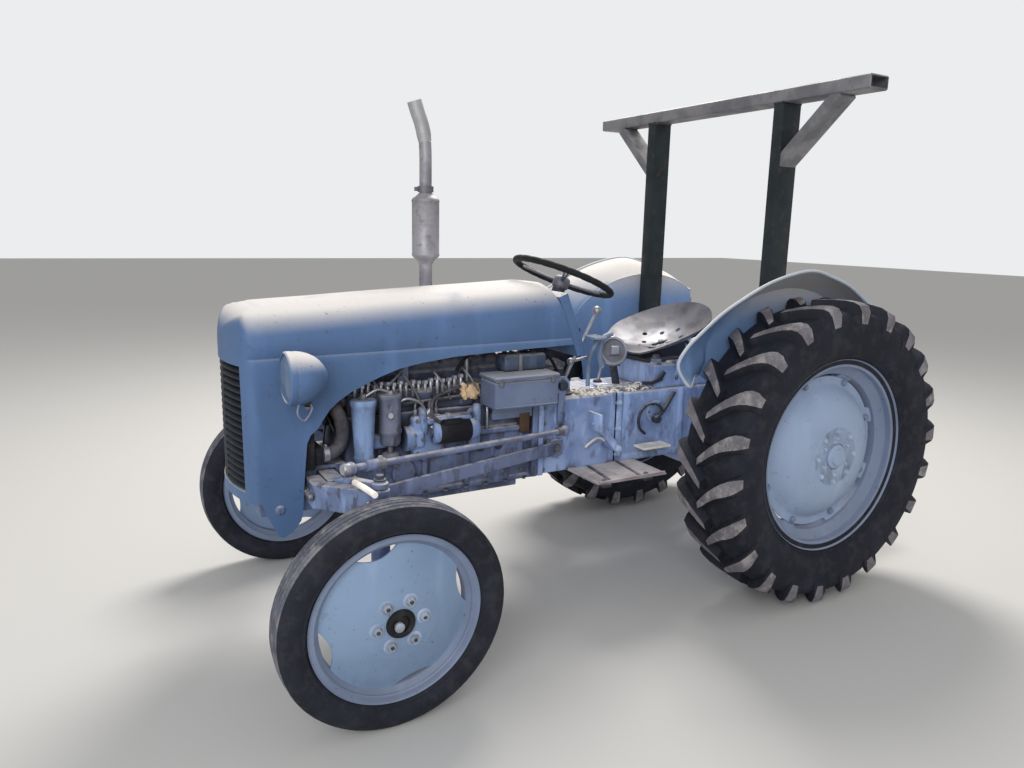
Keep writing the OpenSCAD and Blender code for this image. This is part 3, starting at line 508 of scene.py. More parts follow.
def sheet_paint(name, colour, shade, dust_and_sun=0.9, rusty=0.5, dust_and_sun_heights=None):
    """Old flat paint on sheet metal, with pale dust and painted sunlight on what faces up and between two heights,
    in metres.
    """
    paint = Finish(name, colour, 0.55)
    paint.lay(paint.noise(2.2, 0.35, 0.65), shade)
    paint.lay(paint.noise(9, 0.5, 0.72, 5, (1, 1, 0.25)), [c * 1.12 for c in colour], 0.45)
    paint.lay(paint.noise(26, 0.62, 0.72, 6, shift=3.1), [c * 0.82 for c in colour], 0.5)
    # Pale dust and painted sunlight on what faces up, lighter than the sides
    film = paint.math("MULTIPLY", paint.facing_up(0.25, 0.93), paint.noise(5, 0.05, 0.45, 6))
    # Paler between two heights: pale dust and painted sunlight on the upper parts
    if dust_and_sun_heights:
        high = paint.math("MULTIPLY", paint.height_above(*dust_and_sun_heights), paint.noise(6, -0.2, 0.5, 5))
        paint.lay(high, PALE_DUST_AND_SUN, 0.85, rough=0.85)
    paint.lay(film, PALE_DUST_AND_SUN, dust_and_sun, rough=0.85)
    paint.lay(paint.noise(38, 0.68, 0.72, 3, shift=5.7), RUST, rusty, rough=0.9, height=-0.5)
    paint.lay(paint.noise(90, 0.7, 0.74, 2, shift=9.2), GRIME_AND_SHADE, 0.6)
    paint.grain(140, 0.12)
    paint.grain(7, 1.2, 2)
    paint.done()


def cast_paint(name, colour, shade, dust=0.6, corner_grime_and_shade=0.85, rusty=0.5, oil=0.62):
    """Painted iron under oil, dust and rust, with painted shade in its corners and a painted highlight on its
    edges.
    """
    paint = Finish(name, colour, 0.62)
    paint.lay(paint.noise(7, 0.4, 0.62, 6), shade)
    paint.lay(paint.noise(16, 0.5, 0.62, 7, (1, 1, 0.4), 2.3), [min(255, c * 1.22) for c in colour], 0.55)
    paint.lay(paint.noise(22, 0.56, 0.66, 7, (1, 1, 0.5), 4.4), GRIME_AND_SHADE, oil, rough=0.5)
    # Grime and painted shade: darker deep in corners and recesses
    paint.lay(paint.corners(0.045), GRIME_AND_SHADE, corner_grime_and_shade, rough=0.75)
    paint.lay(paint.noise(30, 0.61, 0.68, 6, shift=7.7), RUST, rusty, rough=0.9, height=0.3)
    film = paint.math("MULTIPLY", paint.facing_up(0.3, 0.85), paint.noise(24, 0.3, 0.6, 7))
    paint.lay(film, DUST, dust, rough=0.95, height=0.5)
    # Convex edges lighter: paint worn thin, and a painted highlight
    paint.lay(paint.edges(0.54, 0.62), [min(255, c * 1.35) for c in colour], 0.4)
    paint.grain(70, 0.7, 6)
    paint.grain(260, 0.25)
    paint.done(0.7)


def bare_metal(name, colour, stain, rough=0.4, metal=0.85, dust=0.4, rusty=0.4):
    metal_skin = Finish(name, colour, rough, metal)
    metal_skin.lay(metal_skin.noise(11, 0.4, 0.66, 6), stain, 0.7, rough=rough + 0.18)
    metal_skin.lay(metal_skin.noise(34, 0.58, 0.68, 6, shift=2.7), RUST, rusty, rough=0.85, metal=0.1)
    film = metal_skin.math("MULTIPLY", metal_skin.facing_up(0.3, 0.9), metal_skin.noise(13, 0.3, 0.7, 6))
    metal_skin.lay(film, DUST, dust, rough=0.9, metal=0.0)
    metal_skin.grain(90, 0.2, 5)
    metal_skin.done()


def rubber(name, colour, dust_colour, dust, chalk=0.3):
    """Old rubber with dried dirt in its pores."""
    skin = Finish(name, colour, 0.72, gloss=0.25)
    skin.lay(skin.noise(8, 0.42, 0.66, 6), [c * 1.35 for c in colour], 0.6)
    skin.lay(skin.noise(21, 0.48, 0.66, 7, shift=1.7), dust_colour, dust, rough=0.95)
    skin.lay(skin.noise(95, 0.58, 0.68, 3, shift=6.1), dust_colour, chalk, rough=0.95)
    skin.grain(60, 0.5, 6)
    skin.done()


def make_materials():
    # The body paint as the hood shows it: bluer and darker than the grey paint itself, painted shade
    sheet_paint("hood_shaded_paint", (87, 113, 154), (77, 104, 142))
    # The fenders' paint: a lighter, bluer copy of the body paint, painted light, paler towards the top from dust
    # and painted sunlight
    sheet_paint("fender_lit_paint", (122, 152, 196), (108, 138, 180), 0.8, 0.2, (1.08, 1.25))
    # The bead's pale paint is a painted sunlit highlight along the fender's edge, with dust
    sheet_paint("bead_highlight_paint", (176, 186, 200), (160, 172, 190), 0.95, 0.2)
    sheet_paint("grille_paint", (30, 36, 48), (23, 29, 38), 0.0, 0.2)
    sheet_paint("front_wheel_paint", (130, 151, 179), (116, 138, 166), 0.0, 0.12)
    sheet_paint("rear_wheel_paint", (152, 168, 194), (134, 150, 176), 0.0, 0.12)
    sheet_paint("rim_paint", (122, 134, 158), (102, 114, 138), 0.1, 0.3)
    sheet_paint("box_paint", (116, 128, 156), (94, 106, 134), 0.5, 0.5)
    cast_paint("engine_paint", (104, 116, 148), (80, 90, 120), 0.6, 0.92)
    cast_paint("gearbox_paint", (150, 170, 210), (126, 146, 190), 0.9, 0.55, 0.35, 0.4)
    cast_paint("pump_paint", (124, 144, 184), (100, 118, 156), 0.5, 0.8)
    cast_paint("axle_paint", (122, 138, 174), (98, 112, 146), 0.8, 0.7)
    cast_paint("hub_paint", (146, 160, 184), (126, 138, 160), 0.2, 0.8, 0.3, 0.4)
    cast_paint("dark_iron", (54, 58, 72), (42, 44, 54), 0.5, 0.8, 0.6)
    cast_paint("filter_blue", (122, 144, 180), (104, 124, 158), 0.3, 0.6, 0.25, 0.4)
    cast_paint("filter_grey", (112, 118, 136), (84, 90, 108), 0.4, 0.7, 0.4)
    cast_paint("head_paint", (76, 84, 108), (58, 65, 84), 0.5, 0.95, 0.6, 0.7)
    sheet_paint("rust_plate", (86, 64, 48), (68, 50, 38), 0.2, 0.4)
    cast_paint("pale_blue", (120, 136, 160), (98, 112, 138), 0.5, 0.6, 0.4)
    cast_paint("coil_paint", (72, 84, 104), (60, 72, 92), 0.3, 0.6, 0.3)
    cast_paint("radius_paint", (112, 122, 154), (90, 98, 128), 0.7, 0.5, 0.4, 0.4)
    bare_metal("roll_bar_steel", (41, 49, 53), (31, 38, 41), 0.5, 0.25, 0.6, 0.2)
    bare_metal("bar_steel", (138, 137, 141), (104, 105, 110), 0.5, 0.5, 0.85, 0.3)
    bare_metal("seat_steel", (132, 132, 139), (88, 89, 96), 0.4, 0.85, 0.2, 0.12)
    bare_metal("bright_steel", (186, 187, 194), (138, 139, 146), 0.34, 0.8, 0.3, 0.15)
    bare_metal("pale_nut", (176, 184, 198), (120, 126, 140), 0.45, 0.4, 0.3, 0.3)
    bare_metal("worn_steel", (134, 133, 140), (96, 95, 103), 0.5, 0.6, 0.5, 0.3)
    bare_metal("exhaust_steel", (162, 160, 166), (124, 120, 126), 0.5, 0.45, 0.2, 0.4)
    bare_metal("exhaust_tip", (184, 183, 184), (158, 156, 157), 0.45, 0.5, 0.2, 0.1)
    bare_metal("dark_steel", (72, 74, 84), (52, 53, 60), 0.5, 0.5, 0.5, 0.4)
    bare_metal("dusty_plate", (186, 176, 180), (134, 126, 130), 0.7, 0.2, 0.95, 0.25)
    rubber("tyre_rubber", (28, 30, 39), (80, 76, 80), 0.18, 0.12)
    # The lugs' tops: pale dried dust and painted sunlight
    rubber("lug_top_dust_and_sun", (104, 101, 106), (160, 154, 152), 0.75, 0.5)
    rubber("front_tread", (80, 82, 92), (140, 136, 138), 0.7, 0.5)
    rubber("hose_rubber", (62, 61, 68), (122, 116, 118), 0.4)
    rubber("black_plastic", (24, 26, 29), (70, 70, 74), 0.12, 0.1)
    rubber("grease", (26, 25, 28), (74, 70, 68), 0.4, 0.2)
    rubber("core_black", (30, 31, 36), (78, 76, 78), 0.4)
    rubber("core_fin", (50, 52, 60), (90, 86, 88), 0.5)
    rubber("starter_black", (26, 26, 32), (66, 64, 70), 0.35, 0.15)
    rubber("straw", (226, 218, 208), (244, 240, 234), 0.6)
    rubber("dry_dirt", (196, 168, 130), (226, 208, 182), 0.7)
    glass = Finish("lamp_glass", (104, 126, 160), 0.12)
    glass.shader.inputs["Transmission Weight"].default_value = 0.25
    glass.grain(30, 0.8, 1, (6, 1, 0.1))
    glass.lay(glass.noise(14, 0.45, 0.75), (150, 152, 158), 0.35, rough=0.4)
    glass.done()


# Camera, light and floor: the camera's place in millimetres, its angles in degrees, its focus in pixels

CAMERA_AT = (2598, -2496, 1439.4)
CAMERA_YAW = 60.57
CAMERA_PITCH = -11.48
CAMERA_ROLL = 1.22
CAMERA_FOCUS = 771.4
PHOTO_WIDTH = 1024
SENSOR = 36
# How bright the sky is as light, and as what is seen
SKY_LIGHT = 0.62
SKY_SEEN = 0.9


def make_camera():
    yaw = math.radians(CAMERA_YAW)
    pitch = math.radians(CAMERA_PITCH)
    ahead = Vector((-math.sin(yaw) * math.cos(pitch), math.cos(yaw) * math.cos(pitch), math.sin(pitch)))
    right = Vector((math.cos(yaw), math.sin(yaw), 0))
    up = right.cross(ahead)
    roll = math.radians(CAMERA_ROLL)
    right, up = (math.cos(roll) * right + math.sin(roll) * up, math.cos(roll) * up - math.sin(roll) * right)
    data = bpy.data.cameras.new("camera")
    data.sensor_width = SENSOR
    data.lens = CAMERA_FOCUS * SENSOR / PHOTO_WIDTH
    data.clip_end = 200
    camera = bpy.data.objects.new("camera", data)
    turn = Matrix((right, up, -ahead)).transposed().to_4x4()
    camera.matrix_world = Matrix.Translation(at(*CAMERA_AT)) @ turn
    bpy.context.scene.collection.objects.link(camera)
    bpy.context.scene.camera = camera


def make_lamp(name, place, target, size, power, colour):
    data = bpy.data.lights.new(name, "AREA")
    data.shape = "DISK"
    data.size = size
    data.energy = power
    data.color = colour
    lamp = bpy.data.objects.new(name, data)
    lamp.location = place
    lamp.rotation_euler = (Vector(target) - Vector(place)).to_track_quat("-Z", "Y").to_euler()
    bpy.context.scene.collection.objects.link(lamp)


def make_stage():
    """The sky, two lamps and a pale floor."""
    world = bpy.data.worlds.new("world")
    bpy.context.scene.world = world
    world.use_nodes = True
    nodes = world.node_tree.nodes
    links = world.node_tree.links
    background = nodes["Background"]
    path = nodes.new("ShaderNodeLightPath")
    seen = nodes.new("ShaderNodeMath")
    seen.operation = "MAXIMUM"
    links.new(path.outputs["Is Camera Ray"], seen.inputs[0])
    links.new(path.outputs["Is Transmission Ray"], seen.inputs[1])
    strength = nodes.new("ShaderNodeMapRange")
    strength.inputs["To Min"].default_value = SKY_LIGHT
    strength.inputs["To Max"].default_value = SKY_SEEN
    links.new(seen.outputs[0], strength.inputs["Value"])
    links.new(strength.outputs["Result"], background.inputs["Strength"])
    background.inputs["Color"].default_value = (0.93, 0.94, 0.95, 1)
    make_lamp("key", (-2.5, 1.5, 5.0), (0, -0.3, 0.7), 2.6, 330, (1.0, 0.97, 0.93))
    make_lamp("fill", (4.5, -4.0, 3.2), (0, -0.2, 0.7), 4.0, 175, (0.94, 0.97, 1.0))
    bpy.ops.mesh.primitive_plane_add(size=60)
    floor = bpy.context.object
    floor.name = "floor"
    concrete = bpy.data.materials.new("floor")
    concrete.use_nodes = True
    shader = concrete.node_tree.nodes["Principled BSDF"]
    shader.inputs["Base Color"].default_value = linear((196, 194, 191))
    shader.inputs["Roughness"].default_value = 0.9
    floor.data.materials.append(concrete)


# Wheels

def wheel_place(hub, side, camber=0.0):
    """The frame of a wheel, with X outward along its axle."""
    turn = Matrix.Scale(SIDES[side], 4, LEFT)
    return turn @ Matrix.Translation(hub) @ Matrix.Rotation(camber, 4, "Y")


def arc(centre, r, start, end, steps):
    """Points (radius, x) on an arc, its angles in degrees."""
    angles = [math.radians(start + (end - start) * i / steps) for i in range(steps + 1)]
    return [(centre[0] + r * math.cos(a), centre[1] + r * math.sin(a)) for a in angles]


def both_halves(half):
    """A looped profile from its outboard half."""
    return half + [(r, -x) for r, x in half[::-1]]


LUGS = 22
LUG_PHASE = math.pi / 2 + 0.09
LUG_STATIONS = [
    # across, behind the lug's nose, half width on top, half width at the foot, top radius, foot radius
    (-10, -6, 15, 25, 599, 560),
    (14, 16, 20, 31, 599.5, 560),
    (46, 44, 22, 33, 599.5, 560),
    (82, 72, 25, 37, 598, 556),
    (112, 90, 29, 42, 594, 546),
    (131, 100, 31, 44, 584, 534),
    (140.5, 105, 30, 44, 562, 516),
    (141.5, 108, 22, 36, 516, 492),
]


def lug(form, side, phase):
    """One bar of the tread, from the middle of the tyre to its shoulder."""
    rings = []
    for across, behind, top, foot, top_r, foot_r in LUG_STATIONS:
        ring = []
        for off, r in ((-foot, foot_r), (-top - 2, top_r - 6), (-top + 3, top_r), (top - 3, top_r),
                       (top + 2, top_r - 6), (foot, foot_r)):
            a = phase - (behind + off) / REAR_R
            ring.append((side * across, r * math.cos(a), r * math.sin(a)))
        rings.append(ring)
    # Each lug's top strip takes the paler rubber: dust and painted sunlight
    form.loft(rings, "tyre_rubber", top="lug_top_dust_and_sun", strips=(2,))


def rear_wheel(side):
    body = "rear_wheel_" + side
    place = wheel_place(REAR_HUB, side)
    tyre = Form(place)
    half = [(356, 99), (381, 103), (385, 112), (392, 119), (398, 119), (402, 124), (428, 137), (456, 141.5),
            (480, 142), (512, 139), (520, 137), (528, 137), (546, 126), (558, 110), (564, 80),
            (567, 40), (568, 0)]
    tyre.revolve(both_halves(half[:-1]), "tyre_rubber", sides=112, looped=True)
    for i in range(LUGS):
        lug(tyre, 1, LUG_PHASE + 2 * math.pi * i / LUGS)
        lug(tyre, -1, LUG_PHASE + 2 * math.pi * (i + 0.5) / LUGS)
    tyre.make(f"rear_tyre_{side}", body, f"rear_tyre_{side}", slot="tyre", crease=38)

    rim = Form(place)
    lip = [(348, 96), (352, 99), (370, 100), (375, 102), (377, 106), (379.5, 109), (379.9, 106), (379, 103),
           (376, 99), (371, 98), (357, 97)]
    well = [(356, 90), (356, 68), (350, 60), (330, 50), (322, 46)]
    inner = [(314, 48), (322, 55), (343, 66), (348, 72)]
    rim.revolve(both_halves(inner + lip + well), "rim_paint", sides=96, looped=True)
    brackets = 8
    for i in range(brackets):
        turn = Matrix.Rotation(2 * math.pi * (i + 0.5) / brackets, 4, "X")
        rim.place = place @ turn
        rim.box((6, -34, 272), (20, 34, 318), "rear_wheel_paint", 3)
        rim.bar((13, 0, 304), (40, 0, 322), 66, 8, "rear_wheel_paint", 2, LEFT)
        rim.bar((-14, 0, 304), (13, 0, 308), 66, 8, "rear_wheel_paint", 2, LEFT)
        rim.bolt((28, 0, 288), LEFT, 11, "rim_paint")
    rim.make(f"rear_rim_{side}", body, f"rear_rim_{side}", slot="rear_wheel_paint", crease=38)

    disc = Form(place)
    dome = [(0, 108), (60, 108), (66, 109.5), (134, 109.5), (150, 107), (176, 101), (206, 89), (236, 68),
            (256, 46), (266, 33), (275, 28), (300, 27.5), (302, 24), (300, 20.5), (272, 20.5), (258, 27),
            (246, 42), (226, 62), (198, 81), (170, 93), (146, 100), (0, 100)]
    disc.revolve(dome, "rear_wheel_paint", sides=96)
    disc.revolve([(0, 108), (47, 108), (47, 116), (44, 119), (34, 121), (31, 128), (0, 129.5)],
                 "rear_wheel_paint", sides=32)
    disc.bolt_ring((109, 0, 0), LEFT, 101, 8, 10, "hub_paint")
    disc.bolt_ring((109, 0, 0), LEFT, 72, 6, 7, "hub_paint", 0.5)
    disc.revolve([(50, 109), (116, 109), (114, 110.5), (52, 110.5)], "hub_paint", sides=64)
    disc.revolve([(0, 58), (126, 58), (126, 104), (0, 104)], "axle_paint")
    disc.revolve([(0, -30), (170, -30), (178, -24), (178, 48), (168, 60), (0, 60)], "axle_paint", sides=64)
    disc.revolve([(0, -112), (31, -112), (31, -29), (0, -29)], "worn_steel", sides=24)
    disc.make(f"rear_disc_{side}", body, f"rear_disc_{side}", slot="rear_wheel_paint", crease=38)


# The front disc: its radius, and the circles that bite into it
DISC_R = 226
BITES = 4
BITE_TURN = 30
BITE_AT = 317
BITE_R = 120


def front_disc_edge(angle):
    """The disc's outer radius at an angle."""
    off = math.radians((math.degrees(angle) + BITE_TURN) % (360 / BITES) - 180 / BITES)
    reach = BITE_R ** 2 - (BITE_AT * math.sin(off)) ** 2
    return DISC_R if reach < 0 else min(DISC_R, BITE_AT * math.cos(off) - math.sqrt(reach))


def front_wheel(side):
    body = "front_wheel_" + side
    place = wheel_place(FRONT_HUB, side, CAMBER)
    tyre = Form(place)
    half = [(241.5, 34), (259, 36), (262, 42), (268, 48), (273, 48), (276, 50), (286, 55),
            (300, 58.5), (314, 57), (322, 54), (326, 53), (329, 50), (334, 46), (339, 42), (341.5, 36),
            (342, 30), (337, 28.5), (337, 25.5), (342.5, 24), (343, 13), (338, 11.5), (338, 8.5),
            (343.5, 7), (344, 2)]
    tyre.revolve(both_halves(half[:14]), "tyre_rubber", sides=96, looped=True)
    tyre.revolve(both_halves([(335, 44.5), *half[14:]]), "front_tread", sides=96, looped=True)
    tyre.make(f"front_tyre_{side}", body, f"front_tyre_{side}", slot="tyre", crease=38)

    rim = Form(place)
    lip = [(236, 33), (240, 37), (252, 38), (256, 40), (258.5, 43.5), (259, 41), (257.5, 37.5), (253, 35.5),
           (243, 34.5)]
    well = [(241, 30), (241, 22), (236, 19), (230, 16.5), (227, 14)]
    inner = [(222, 15), (226, 20), (233, 25), (236, 28)]
    rim.revolve(both_halves(inner + lip + well), "rim_paint", sides=96, looped=True)
    dish = [(40, 58.5), (92, 58.5), (98, 56.2), (104, 56.2), (116, 53), (150, 43), (185, 31), (206, 22),
            (216, 17.5), (226, 16)]
    rings = []
    turns = 144
    for i in range(turns):
        a = 2 * math.pi * i / turns
        edge = front_disc_edge(a)
        line = [(min(r, edge), between(dish, min(r, edge))) for r, x in dish]
        loop = line + [(r, x - 5) for r, x in line[::-1]]
        rings.append([(x, r * math.cos(a), r * math.sin(a)) for r, x in loop])
    rim.loft(rings, "front_wheel_paint", looped=True)
    nuts = 6
    for i in range(nuts):
        a = 2 * math.pi * (i + 0.1) / nuts
        centre = (56, 70 * math.cos(a), 70 * math.sin(a))
        rim.revolve([(0, 0), (24, 0), (22, 4), (17, 6), (0, 6)], "hub_paint", centre, sides=24)
        rim.revolve([(0, 0), (14, 0), (14, 10), (11, 14), (0, 14)], "pale_nut", centre, sides=6)
        rim.rod(centre, (73, centre[1], centre[2]), 6, "dark_steel", sides=10)
    rim.revolve([(36, 40), (44, 44), (44, 60), (41, 66), (33, 69), (26, 66), (26, 40)], "grease", sides=32,
                looped=True)
    rim.revolve([(0, 44), (26, 44), (26, 56), (22, 60), (14, 61), (0, 60)], "grease", sides=24)
    rim.revolve([(0, 50), (15, 50), (15, 69), (11, 72), (0, 72)], "pale_nut", (0, -6, -8), sides=12)
    rim.revolve([(20.2, -42), (44, -42), (48, -38), (48, 40), (92, 40), (92, 51), (20.2, 51)], "axle_paint",
                sides=40, looped=True)
    rim.make(f"front_rim_{side}", body, f"front_rim_{side}", slot="front_wheel_paint", crease=38)


# Hood, grille and lamps

HOOD_HALF = 216
HOOD_WALL = 4
SHOULDER_Z = 1132
CROWN_RISE = 58
HOOD_SLOPE = math.tan(math.radians(3))
NOSE_Y = FRONT_Y - 336
NOSE_BULGE = 48
BULGE_R = (HOOD_HALF ** 2 + NOSE_BULGE ** 2) / (2 * NOSE_BULGE)
CROWN_R = (HOOD_HALF ** 2 + CROWN_RISE ** 2) / (2 * CROWN_RISE)
NOSE_ROUND = 105
NOSE_TOP = SHOULDER_Z + CROWN_RISE - 12
SHOULDER_ROUND = 62
HOOD_CUT = (-890, 1017)
COLUMN_LEAN = math.radians(22)
GRILLE_HALF = 170
GRILLE_LOW = 600
GRILLE_HIGH = 1005
SILL_LOW = 568
SILL_Y = -2046
# Where the plain sections of the sides end, how far the raked ones run on, and where they follow the slope
SIDE_END = -1300
RAKED_RUN = 340
RAKED_ROWS = 12
SLOPED_ABOVE = 1060
# The pressed line along the side: its height at the nose and its slope
PRESS_Z = 1030
PRESS_SLOPE = 0.008
# The rows of points from the lower edge up to the grille's top
LOW_ROWS = 17
# The lower edge of the hood's side as rising (Y, Z) points, from the nose to the dash
HOOD_EDGE = [(SILL_Y, SILL_LOW), (-2020, 506), (-1995, 452), (-1978, 446), (-1950, 462),
             (-1924, 494), (-1917, 520), (-1908, 640), (-1897, 750), (-1885, 775), (-1861, 795), (-1842, 824),
             (-1821, 853), (-1790, 880), (-1750, 905), (-1703, 926), (-1650, 948), (-1581, 971), (-1500, 985),
             (-1380, 998), (-1200, 1006), (-907, 1013), (-500, 1013)]


def nose_front(x):
    """Where the front of the nose is at a distance from the middle."""
    return NOSE_Y + BULGE_R - math.sqrt(BULGE_R ** 2 - x * x)


def hood_top(x, y):
    crown = SHOULDER_Z + CROWN_RISE - CROWN_R + math.sqrt(CROWN_R ** 2 - x * x) + HOOD_SLOPE * (y - NOSE_Y)
    past = min(max(y - NOSE_Y, 0), NOSE_ROUND)
    round_top = NOSE_TOP - NOSE_ROUND + math.sqrt(NOSE_ROUND ** 2 - (NOSE_ROUND - past) ** 2)
    return min(crown, round_top + (HOOD_SLOPE * (y - NOSE_Y) if past == NOSE_ROUND else 0))


def hood_stations():
    """Half width, Y and share of the raked end of each cross section, from the tip of the nose back."""
    corner = 26
    front_x = (0.5, 12, 26, 42, 60, 78, 96, 114, 132, 150, 162, GRILLE_HALF, 178, 186, 192)
    front = [(x, nose_front(x)) for x in front_x]
    last_y = front[-1][1]
    turn = [(HOOD_HALF - corner + corner * math.sin(math.radians(a)),
             last_y + 2 + corner * 1.15 * (1 - math.cos(math.radians(a)))) for a in (35, 50, 65, 78, 90)]
    side_y = sorted({y for y, z in HOOD_EDGE if turn[-1][1] + 4 < y < SIDE_END}
                    | {-2040 + 12 * i for i in range(1, 10)} | {SIDE_END - 40 * i for i in range(1, 7)})
    plain = [(half, y, None) for half, y in front + turn + [(HOOD_HALF, y) for y in side_y]]
    shares = [i / RAKED_ROWS for i in range(1, RAKED_ROWS + 1)]
    return plain + [(HOOD_HALF, SIDE_END + RAKED_RUN * share, share) for share in shares]


def hood_surface(half, y, rear):
    """One cross section from the lower left edge over the top to the lower right edge."""
    low = between(HOOD_EDGE, y if rear is None else SIDE_END + (HOOD_CUT[0] - SIDE_END) * rear)
    crease = PRESS_Z + PRESS_SLOPE * (y - SILL_Y)
    side_r = min(SHOULDER_ROUND, half)
    top_start = hood_top(half, y) - side_r
    levels = [(z, 0) for z in (440, 452, 480, 510, 540, SILL_LOW, GRILLE_LOW)]
    levels += [(GRILLE_LOW + (GRILLE_HIGH - GRILLE_LOW) * i / 10, 0) for i in range(1, 11)]
    levels += [(crease - 3, 0), (crease - 1, -2.2), (crease + 1.5, -2.2), (crease + 4, 0)]
    points = [(half + dx * (half > 200), max(low, min(z, top_start))) for z, dx in levels]
    for i in range(9):
        a = math.radians(90 * i / 8)
        x = half - side_r + side_r * math.cos(a)
        points.append((x, hood_top(x, y) - side_r + side_r * math.sin(a)))
    inner = half - side_r
    points += [(inner * (1 - i / 8), hood_top(inner * (1 - i / 8), y)) for i in range(1, 9)]
    rows = []
    for x, z in points:
        depth = y
        if rear is not None:
            cut = HOOD_CUT[0] - (z - HOOD_CUT[1]) * math.tan(COLUMN_LEAN)
            depth = SIDE_END + (cut - SIDE_END) * rear
            z = z + HOOD_SLOPE * (depth - y) * (z > SLOPED_ABOVE)
        rows.append(Vector((x, depth, z)))
    return rows + [Vector((-p.x, p.y, p.z)) for p in rows[-2::-1]]


def hood():
    form = Form()
    stations = hood_stations()
    rows = [hood_surface(*station) for station in stations]
    size = len(rows[0])
    faces = []
    for i, (half, _, rear) in enumerate(stations[:-1]):
        open_grille = max(half, stations[i + 1][0]) <= GRILLE_HALF
        for j in range(size - 1):
            corners = [rows[i][j], rows[i][j + 1], rows[i + 1][j + 1], rows[i + 1][j]]
            height = sum(p.z for p in corners) / 4
            side = j < LOW_ROWS or j >= size - 1 - LOW_ROWS
            front_low = rear is None and side and height < SILL_LOW and corners[0].y < SILL_Y
            if front_low or (open_grille and side and GRILLE_LOW < height < GRILLE_HIGH):
                continue
            if (corners[2] - corners[0]).cross(corners[3] - corners[1]).length > 0.02:
                first = i * size + j
                faces.append([first, first + 1, first + size + 1, first + size])
    form.add([p for row in rows for p in row], faces, "hood_shaded_paint")
    form.work(("WELD", {"merge_threshold": 0.05}))
    form.dent(2.4, 190, 1.3)
    form.thicken(HOOD_WALL)
    form.make("hood", "hood", "hood", slot="body_paint", crease=50)


def grille():
    form = Form()
    slats = 18
    pitch = (GRILLE_HIGH - GRILLE_LOW - 6) / slats
    for i in range(slats):
        z = GRILLE_LOW + 6 + i * pitch
        rings = []
        for k in range(17):
            x = (GRILLE_HALF - 1) * (k / 8 - 1)
            y = nose_front(x) + 4
            section = [(0, 0), (0, 3), (4, 6.5), (22, 15), (23, 13), (6, 4), (3, 0)]
            rings.append([(x, y + dy, z + dz) for dy, dz in section])
        form.loft(rings, "grille_paint")
    for x in (-GRILLE_HALF + 5, 0, GRILLE_HALF - 5):
        y = nose_front(x) + 4.5
        form.box((x - 4.5, y + 1, GRILLE_LOW + 1), (x + 4.5, y + 26, GRILLE_HIGH - 1), "grille_paint", 1.5)
    form.make("grille", "hood", "grille", slot="body_paint", crease=38)


LAMP = (306, -1976, 983)
LAMP_R = 82


def headlamps():
    """The left lamp, about the middle of its rim, and its mirror image."""
    form = Form(Matrix.Translation(LAMP))
    r = LAMP_R
    form.revolve([(r - 3, 12), (r - 1, 22), (r - 1, 34), (r - 4, 50), (r - 9, 66), (r - 18, 84), (r - 30, 99),
                  (r - 46, 112), (20, 121), (0, 124), (0, 120), (30, 110), (r - 34, 86), (r - 20, 60),
                  (r - 10, 30), (r - 8, 12)], "hood_shaded_paint", axis=BACK, sides=56)
    form.revolve([(r - 9, -3), (r - 4, -4), (r, 0), (r, 15), (r - 2, 19), (r - 8, 18),
                  (r - 10, 4)], "hood_shaded_paint", axis=BACK, sides=56, looped=True)
    form.revolve([(0, -13), (30, -11), (55, -7), (r - 9, 1), (r - 9, 5), (0, -7)], "lamp_glass", axis=BACK)
    form.revolve([(0, 42), (30, 36), (55, 22), (r - 11, 6), (r - 11, 9), (55, 26), (28, 40), (0, 46)],
                 "bright_steel", axis=BACK)
    form.ball((0, 26, 0), 10, "bright_steel", 12)
    # The foot on the side of the nose, and the cable in a loose loop down to it
    nose = HOOD_HALF - LAMP[0]
    form.tube([(-4, 66, -66), (-14, 64, -84), (-34, 62, -76), (nose + 12, 62, -74)], 11, "dark_steel")
    form.revolve([(0, 0), (32, 0), (32, 4), (22, 8), (14, 16), (0, 16)], "hood_shaded_paint",
                 (nose, 60, -72), sides=32)
    form.bolt((-8, 64, -92), DOWN, 8, "worn_steel")
    form.tube([(-30, 50, -66), (-40, 40, -118), (-62, 66, -150), (-66, 92, -112), (nose + 2, 74, -92)], 3,
              "pale_nut", 8)
    form.mirror()
    form.make("headlamps", "hood", "headlamps", slot="body_paint", crease=38)


# Fenders

FENDER_WALL = 440.5
FENDER_REACH = 150
FENDER_HEART = Vector((-100, 600))
FENDER_CROWN = 12
# From front to rear: (Y, Z) of the wall's foot, of the seam and of the flare's outer edge
FLARE = [
    ((-436, 890), (-474, 910), (-640, 902)),
    ((-424, 870), (-450, 960), (-676, 932)),
    ((-410, 860), (-452, 1010), (-703, 985)),
    ((-392, 790), (-436, 1046), (-668, 1040)),
    ((-380, 700), (-410, 1078), (-614, 1084)),
    ((-250, 630), (-362, 1118), (-522, 1149)),
    ((-120, 560), (-295, 1162), (-426, 1200)),
    ((-60, 560), (-210, 1198), (-292, 1258)),
    ((0, 560), (-118, 1219), (-150, 1294)),
    ((60, 560), (-40, 1227), (-50, 1300)),
    ((120, 560), (40, 1224), (40, 1278)),
    ((210, 660), (125, 1207), (150, 1240)),
    ((300, 760), (184, 1185), (240, 1188)),
    ((284, 1000), (262, 1142), (340, 1125)),
]
FLARE_STEPS = 9


